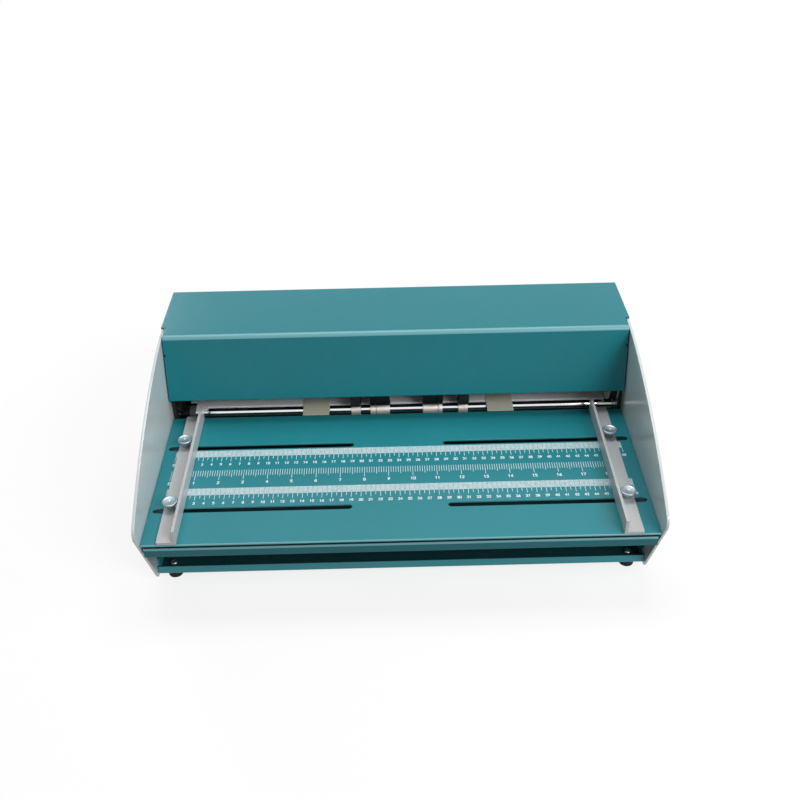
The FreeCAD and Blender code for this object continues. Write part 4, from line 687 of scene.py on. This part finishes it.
def screws(node, axis, head_radius, head_height, shank_radius):
    """Cross-recessed screws in the places of a node's plain ones, each turned its own way.

    axis is the direction that the heads face. All screws of a node are equally long.
    """
    outward = OUTWARD[axis]
    turn = outward.to_track_quat("Z", "Y").to_matrix().to_4x4()
    head = None
    bm = bmesh.new()
    for count, (low, high) in enumerate(loose_parts(node)):
        length = (high - low)["XYZ".index(axis[-1])] - head_height
        if head is None:
            head = cross_head(head_radius, head_height, shank_radius, length)
        seat = (low + high) / 2
        for i in range(3):
            if outward[i] > 0:
                seat[i] = high[i] - head_height
            elif outward[i] < 0:
                seat[i] = low[i] + head_height
        spin = Matrix.Rotation(FIRST_CROSS_TURN + count * NEXT_CROSS_TURN, 4, "Z")
        copy = head.copy()
        copy.transform(Matrix.Translation(seat) @ turn @ spin)
        bm.from_mesh(copy)
        bpy.data.meshes.remove(copy)
    mesh = finished_mesh(bm, node + "_crossed", 34.0)
    obj = piece(node + "_crossed", mesh, [finishes["screw_steel"]], body_of[node])
    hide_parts(node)


screws("left_side_screws", "-X", 3.6 * MM, 2.2 * MM, 2.0 * MM)
screws("right_side_screws", "+X", 3.6 * MM, 2.2 * MM, 2.0 * MM)
screws("foot_screws", "+Z", 4.0 * MM, 3.0 * MM, 2.0 * MM)
# The foot screws in the dark gap get the darker bearing finish: painted shade
refinish("foot_screws_crossed", "bearing_steel")


# The inlet's blades: their middles across and up from its own, and how far they reach
BLADE_SPOTS = ((-6.75, -2.0), (0.0, 2.0), (6.75, -2.0))
BLADE_HALF_WIDTH = 1.3 * MM
BLADE_HALF_HEIGHT = 2.3 * MM
BLADE_LARGEST_FACE = 0.00009
INLET_FRONT_DEPTH = 2.1 * MM


def blades_in_metal():
    """The inlet's three blades take the plated finish of the screws."""
    inlet = bpy.data.objects["power_inlet_eased"]
    low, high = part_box("power_inlet")
    middle = Vector(low).lerp(Vector(high), 0.5)
    inlet.data.materials.append(finishes["screw_steel"])
    plated = len(inlet.data.materials) - 1
    for face in inlet.data.polygons:
        spot = face.center
        for across, lift in BLADE_SPOTS:
            near = (abs(spot.x - middle.x - across * MM) < BLADE_HALF_WIDTH
                    and abs(spot.z - middle.z - lift * MM) < BLADE_HALF_HEIGHT)
            small = face.area < BLADE_LARGEST_FACE
            if near and small and spot.y > low[1] + INLET_FRONT_DEPTH:
                face.material_index = plated


blades_in_metal()

ROCKER_PIVOT = Vector((-0.1, 0.1567, 0.047))
ROCKER_TILT = math.radians(8)
# The key's V-shaped face: how far its middle stands out from the pivot, and its slope
KEY_MIDDLE_RISE = 3.533 * MM
KEY_SLOPE = (4.6 - 3.533) / 8.2
# The marks on it, in millimetres
MARK_SPOT = 4.6
BAR_HALF_WIDTH = 0.28
BAR_HALF_LENGTH = 1.3
RING_OUTER = 1.35
RING_INNER = 0.85
RING_STEPS = 32
MARK_SINK = 0.00003
MARK_RISE = 0.00005


def rocker_marks():
    """A bar at one end of the switch's key and a ring at the other, for on and off."""
    bm = bmesh.new()
    x, z = BAR_HALF_WIDTH, BAR_HALF_LENGTH
    bar = [(-x, -z), (x, -z), (x, z), (-x, z)]
    mark_solid(bm, [(cx * MM, (MARK_SPOT + cz) * MM) for cx, cz in bar])
    for step in range(RING_STEPS):
        angles = (2 * math.pi * step / RING_STEPS, 2 * math.pi * (step + 1) / RING_STEPS)
        corners = []
        for reach, order in ((RING_OUTER, angles), (RING_INNER, angles[::-1])):
            for angle in order:
                corners.append((reach * math.cos(angle) * MM,
                                (-MARK_SPOT + reach * math.sin(angle)) * MM))
        mark_solid(bm, corners)
    turn = Matrix.Translation(ROCKER_PIVOT) @ Matrix.Rotation(ROCKER_TILT, 4, "X")
    bm.transform(turn)
    mesh = finished_mesh(bm, "rocker_marks")
    piece("rocker_marks", mesh, [white_ink()], "power_rocker")


def mark_solid(bm, corners):
    """A thin raised patch on the key's sloping face: corners are (x, z) on the key."""
    near = []
    far = []
    for x, z in corners:
        y = KEY_MIDDLE_RISE + abs(z) * KEY_SLOPE
        near.append(bm.verts.new((x, y - MARK_SINK, z)))
        far.append(bm.verts.new((x, y + MARK_RISE, z)))
    bm.faces.new(near)
    bm.faces.new(list(reversed(far)))
    count = len(corners)
    for i in range(count):
        j = (i + 1) % count
        bm.faces.new([near[i], far[i], far[j], near[j]])


# The table's print. Places along Y count from the table's front edge, drops go towards it
PRINT_HEIGHT = 0.00004
PRINT_SINK = 0.00002
CM_ZERO = -0.23963
CM_COUNT = 48
UPPER_BAND = 0.1352
LOWER_BAND = 0.0730
BAND_WIDTH = 0.0106
CM_TICK_DROP = 0.0076
HALF_TICK_DROP = 0.0050
CM_NUMBER_DROP = 0.0124
CM_NUMBER_HEIGHT = 0.0031
TICK_HALF_WIDTH = 0.00024
BAND_TICK_HALF_WIDTH = 0.00031
INCH_COUNT = 18
INCH_TOP = 0.1125
TENTH_INCH = 0.00254
INCH_TICK_DROP = 0.0155
HALF_INCH_TICK_DROP = 0.0115
TENTH_TICK_DROP = 0.0092
INCH_NUMBERS = 0.0925
INCH_NUMBER_HEIGHT = 0.0036
# Spacing and stroke width of digits in units of their grid, and how much higher each
# next stroke of a digit is, as a share of the print's height
DIGIT_PITCH = 3.1
STROKE_WIDTH = 0.92
STROKE_RISE = 0.03


def flat_box(bm, x0, y0, x1, y1, low, high):
    """A thin closed bar with its sides along X and Y."""
    corners = [(x0, y0), (x1, y0), (x1, y1), (x0, y1)]
    solid_from(bm, corners, low, high)


def solid_from(bm, corners, low, high):
    """A closed upright prism on (x, y) corners."""
    bottom = [bm.verts.new((x, y, low)) for x, y in corners]
    crown = [bm.verts.new((x, y, high)) for x, y in corners]
    bm.faces.new(list(reversed(bottom)))
    bm.faces.new(crown)
    count = len(corners)
    for i in range(count):
        j = (i + 1) % count
        bm.faces.new([bottom[i], bottom[j], crown[j], crown[i]])


# Strokes of each digit on a 3 by 5 grid, as runs of grid points
DIGITS = {
    "0": [[(0, 0), (2, 0), (2, 4), (0, 4), (0, 0)]],
    "1": [[(0.4, 3.2), (1.1, 4), (1.1, 0)]],
    "2": [[(0, 3.2), (0.4, 4), (1.7, 4), (2, 3.2), (2, 2.6), (0, 0), (2, 0)]],
    "3": [[(0, 4), (2, 4), (1, 2.4), (2, 1.6), (2, 0.6), (1.6, 0), (0.4, 0), (0, 0.6)]],
    "4": [[(1.6, 0), (1.6, 4), (0, 1.3), (2.2, 1.3)]],
    "5": [[(2, 4), (0, 4), (0, 2.4), (1.6, 2.4), (2, 1.8), (2, 0.6), (1.6, 0), (0, 0)]],
    "6": [[(1.8, 4), (0.6, 3), (0, 1.6), (0, 0.5), (0.4, 0), (1.6, 0), (2, 0.5), (2, 1.6),
           (1.6, 2.1), (0.1, 2.0)]],
    "7": [[(0, 4), (2, 4), (0.7, 0)]],
    "8": [[(0.4, 2.2), (0, 1.6), (0, 0.5), (0.4, 0), (1.6, 0), (2, 0.5), (2, 1.6), (1.6, 2.2),
           (0.4, 2.2), (0.1, 2.8), (0.1, 3.5), (0.5, 4), (1.5, 4), (1.9, 3.5), (1.9, 2.8),
           (1.6, 2.2)]],
    "9": [[(0.2, 0), (1.4, 1), (2, 2.4), (2, 3.5), (1.6, 4), (0.4, 4), (0, 3.5), (0, 2.5),
           (0.4, 1.9), (1.9, 2.0)]],
}


def stroke(bm, start, end, width, low, high):
    """One straight pen stroke, a little longer than its two points."""
    run = Vector((end[0] - start[0], end[1] - start[1]))
    if run.length == 0:
        return
    along = run.normalized() * width * 0.5
    across = Vector((-along.y, along.x))
    a = Vector(start) - along
    b = Vector(end) + along
    corners = [a - across, b - across, b + across, a + across]
    solid_from(bm, [(c.x, c.y) for c in corners], low, high)


def number(bm, text, x, y, height, low):
    """A number centred at x, y, drawn in strokes."""
    unit = height / 4
    pitch = unit * DIGIT_PITCH
    start = x - (len(text) - 1) * pitch / 2
    for place, digit in enumerate(text):
        left = start + place * pitch - unit
        for run in DIGITS[digit]:
            spots = [(left + px * unit, y + (py - 2) * unit) for px, py in run]
            for step, (one, other) in enumerate(zip(spots, spots[1:])):
                lift = low + PRINT_HEIGHT * (1 + STROKE_RISE * step)
                stroke(bm, one, other, unit * STROKE_WIDTH, low, lift)


def metric_ruler(bm, band_foot, low, high):
    """Millimetre ticks in a band, longer ones below it, and the centimetre numbers."""
    for mm in range(CM_COUNT * 10 + 1):
        drop = 0.0
        if mm % 10 == 0:
            drop = CM_TICK_DROP
        elif mm % 5 == 0:
            drop = HALF_TICK_DROP
        half = TICK_HALF_WIDTH if drop else BAND_TICK_HALF_WIDTH
        x = CM_ZERO + mm * MM
        flat_box(bm, x - half, TABLE_FRONT + band_foot - drop, x + half,
                 TABLE_FRONT + band_foot + BAND_WIDTH, low, high)
    y = TABLE_FRONT + band_foot - CM_NUMBER_DROP
    for cm in range(CM_COUNT + 1):
        number(bm, str(cm), CM_ZERO + cm * CM, y, CM_NUMBER_HEIGHT, low)


def inch_ruler(bm, low, high):
    """Tenths of an inch, with longer ticks at the halves and at each inch."""
    top_line = TABLE_FRONT + INCH_TOP
    for tenth in range(INCH_COUNT * 10 + 1):
        x = CM_ZERO + tenth * TENTH_INCH
        drop = TENTH_TICK_DROP
        if tenth % 10 == 0:
            drop = INCH_TICK_DROP
        elif tenth % 5 == 0:
            drop = HALF_INCH_TICK_DROP
        flat_box(bm, x - TICK_HALF_WIDTH, top_line - drop, x + TICK_HALF_WIDTH, top_line,
                 low, high)
    for inch in range(INCH_COUNT + 1):
        number(bm, str(inch), CM_ZERO + inch * INCH, TABLE_FRONT + INCH_NUMBERS,
               INCH_NUMBER_HEIGHT, low)


def white_ink():
    """Printed white ink, slightly worn."""
    m = Recipe("white_ink")
    worn = m.noise(260.0, 4.0)
    m.link(m.blend(worn, srgb(206, 226, 230), srgb(242, 249, 252)),
           m.shader.inputs["Base Color"])
    m.link(m.ramp(worn, 0.5, 0.7), m.shader.inputs["Roughness"])
    m.bumps((m.noise(1900.0, 2.0), 0.00001))
    return m.material


def rulers():
    """The table's print: a centimetre ruler, an inch ruler and a centimetre ruler."""
    bm = bmesh.new()
    low = TABLE_TOP - PRINT_SINK
    high = TABLE_TOP + PRINT_HEIGHT
    metric_ruler(bm, UPPER_BAND, low, high)
    metric_ruler(bm, LOWER_BAND, low, high)
    inch_ruler(bm, low, high)
    mesh = bpy.data.meshes.new("table_print")
    bm.to_mesh(mesh)
    bm.free()
    piece("table_print", mesh, [white_ink()], "machine")


rulers()
rocker_marks()


def direct_view(tree):
    """1 for rays from the camera and through mirrors and glass, 0 for scattered light."""
    path = tree.nodes.new("ShaderNodeLightPath")
    total = path.outputs["Is Camera Ray"]
    for name in ("Is Glossy Ray", "Is Transmission Ray"):
        most = tree.nodes.new("ShaderNodeMath")
        most.operation = "MAXIMUM"
        tree.links.new(total, most.inputs[0])
        tree.links.new(path.outputs[name], most.inputs[1])
        total = most.outputs[0]
    return total


FLOOR_REACH = 6.0
FLOOR_HEIGHT = -0.0002
FLOOR_TONE = (0.30, 0.31, 0.31, 1)
WHITE = (1.0, 1.0, 1.0, 1)
# Share of plain white in the floor, close to the object and from a distance on, in metres
GLOW_NEAR = 0.8
GLOW_FAR = 1.0
GLOW_FROM = 0.4
GLOW_FULL = 1.0
WORLD_DIM = 0.18
LAMP_TARGET = Vector((0, 0, 0.1))


def floor():
    """A floor that looks white, keeps the object's shadow and throws back little light."""
    mesh = bpy.data.meshes.new("studio_floor")
    bm = bmesh.new()
    for x, y in ((-1, -1), (1, -1), (1, 1), (-1, 1)):
        bm.verts.new((x * FLOOR_REACH, y * FLOOR_REACH, FLOOR_HEIGHT))
    bm.faces.new(list(bm.verts))
    bm.to_mesh(mesh)
    bm.free()
    obj = bpy.data.objects.new("studio_floor", mesh)
    bpy.context.scene.collection.objects.link(obj)
    m = Recipe("floor_white")
    seen = direct_view(m.tree)
    m.link(m.blend(seen, FLOOR_TONE, WHITE, 0.0, 1.0), m.shader.inputs["Base Color"])
    m.set(Roughness=0.9, Specular_IOR_Level=0.0)
    glow = m.tree.nodes.new("ShaderNodeEmission")
    glow.inputs["Color"].default_value = WHITE
    glow.inputs["Strength"].default_value = 1.0
    distance = m.tree.nodes.new("ShaderNodeVectorMath")
    distance.operation = "LENGTH"
    m.link(m.place, distance.inputs[0])
    part = m.tree.nodes.new("ShaderNodeMath")
    part.operation = "MULTIPLY"
    m.link(m.ramp(distance.outputs["Value"], GLOW_NEAR, GLOW_FAR, GLOW_FROM, GLOW_FULL),
           part.inputs[0])
    m.link(seen, part.inputs[1])
    mix = m.tree.nodes.new("ShaderNodeMixShader")
    m.link(part.outputs[0], mix.inputs["Fac"])
    m.link(m.shader.outputs["BSDF"], mix.inputs[1])
    m.link(glow.outputs["Emission"], mix.inputs[2])
    m.link(mix.outputs["Shader"], m.output.inputs["Surface"])
    mesh.materials.append(m.material)


def world():
    """Plain white where it is seen, and a dim even light on the object."""
    studio = bpy.data.worlds.new("studio")
    bpy.context.scene.world = studio
    studio.use_nodes = True
    tree = studio.node_tree
    tree.nodes.clear()
    output = tree.nodes.new("ShaderNodeOutputWorld")
    dim = tree.nodes.new("ShaderNodeBackground")
    dim.inputs["Color"].default_value = WHITE
    dim.inputs["Strength"].default_value = WORLD_DIM
    white = tree.nodes.new("ShaderNodeBackground")
    white.inputs["Color"].default_value = WHITE
    white.inputs["Strength"].default_value = 1.0
    mix = tree.nodes.new("ShaderNodeMixShader")
    tree.links.new(direct_view(tree), mix.inputs["Fac"])
    tree.links.new(dim.outputs["Background"], mix.inputs[1])
    tree.links.new(white.outputs["Background"], mix.inputs[2])
    tree.links.new(mix.outputs["Shader"], output.inputs["Surface"])


def softbox(name, place, width, height, power):
    """A rectangular lamp of some watts that points at the object."""
    light = bpy.data.lights.new(name, "AREA")
    light.shape = "RECTANGLE"
    light.size = width
    light.size_y = height
    light.energy = power
    obj = bpy.data.objects.new(name, light)
    bpy.context.scene.collection.objects.link(obj)
    obj.location = place
    aim = LAMP_TARGET - Vector(place)
    obj.rotation_euler = aim.to_track_quat("-Z", "Y").to_euler()


# The photograph's view, fitted to the printed rulers and the table's corners
CAMERA_PLACE = Vector((-0.0044, -0.8630, 0.7608))
CAMERA_PITCH = math.radians(37.32)
CAMERA_ROLL = math.radians(1.09)
CAMERA_YAW = math.radians(-0.43)
SENSOR_WIDTH = 36
LENS_LENGTH = 45
LENS_SHIFT = 0.0375


def camera():
    """The scene's camera, in the photograph's place and at its angles."""
    pitch, roll, yaw = CAMERA_PITCH, CAMERA_ROLL, CAMERA_YAW
    turn = Matrix.Rotation(yaw, 3, "Z")
    ahead = turn @ Vector((0, math.cos(pitch), -math.sin(pitch)))
    right = turn @ Vector((1, 0, 0))
    down = turn @ Vector((0, -math.sin(pitch), -math.cos(pitch)))
    tilted_right = right * math.cos(roll) + down * math.sin(roll)
    tilted_down = down * math.cos(roll) - right * math.sin(roll)
    lens = bpy.data.cameras.new("camera")
    lens.sensor_width = SENSOR_WIDTH
    lens.lens = LENS_LENGTH
    lens.shift_y = LENS_SHIFT
    obj = bpy.data.objects.new("camera", lens)
    bpy.context.scene.collection.objects.link(obj)
    axes = Matrix((tilted_right, -tilted_down, -ahead)).transposed()
    obj.matrix_world = Matrix.Translation(CAMERA_PLACE) @ axes.to_4x4()
    bpy.context.scene.camera = obj


floor()
world()
softbox("key", (1.4, -1.8, 1.75), 1.3, 1.0, 43)
softbox("right_side", (1.6, -0.2, 0.95), 0.8, 0.8, 7)
softbox("overhead", (-0.05, 0.34, 1.65), 1.2, 0.7, 13)
softbox("back_left", (-1.1, 1.5, 0.55), 0.9, 0.7, 14)
camera()
bpy.context.scene.view_settings.view_transform = "Standard"
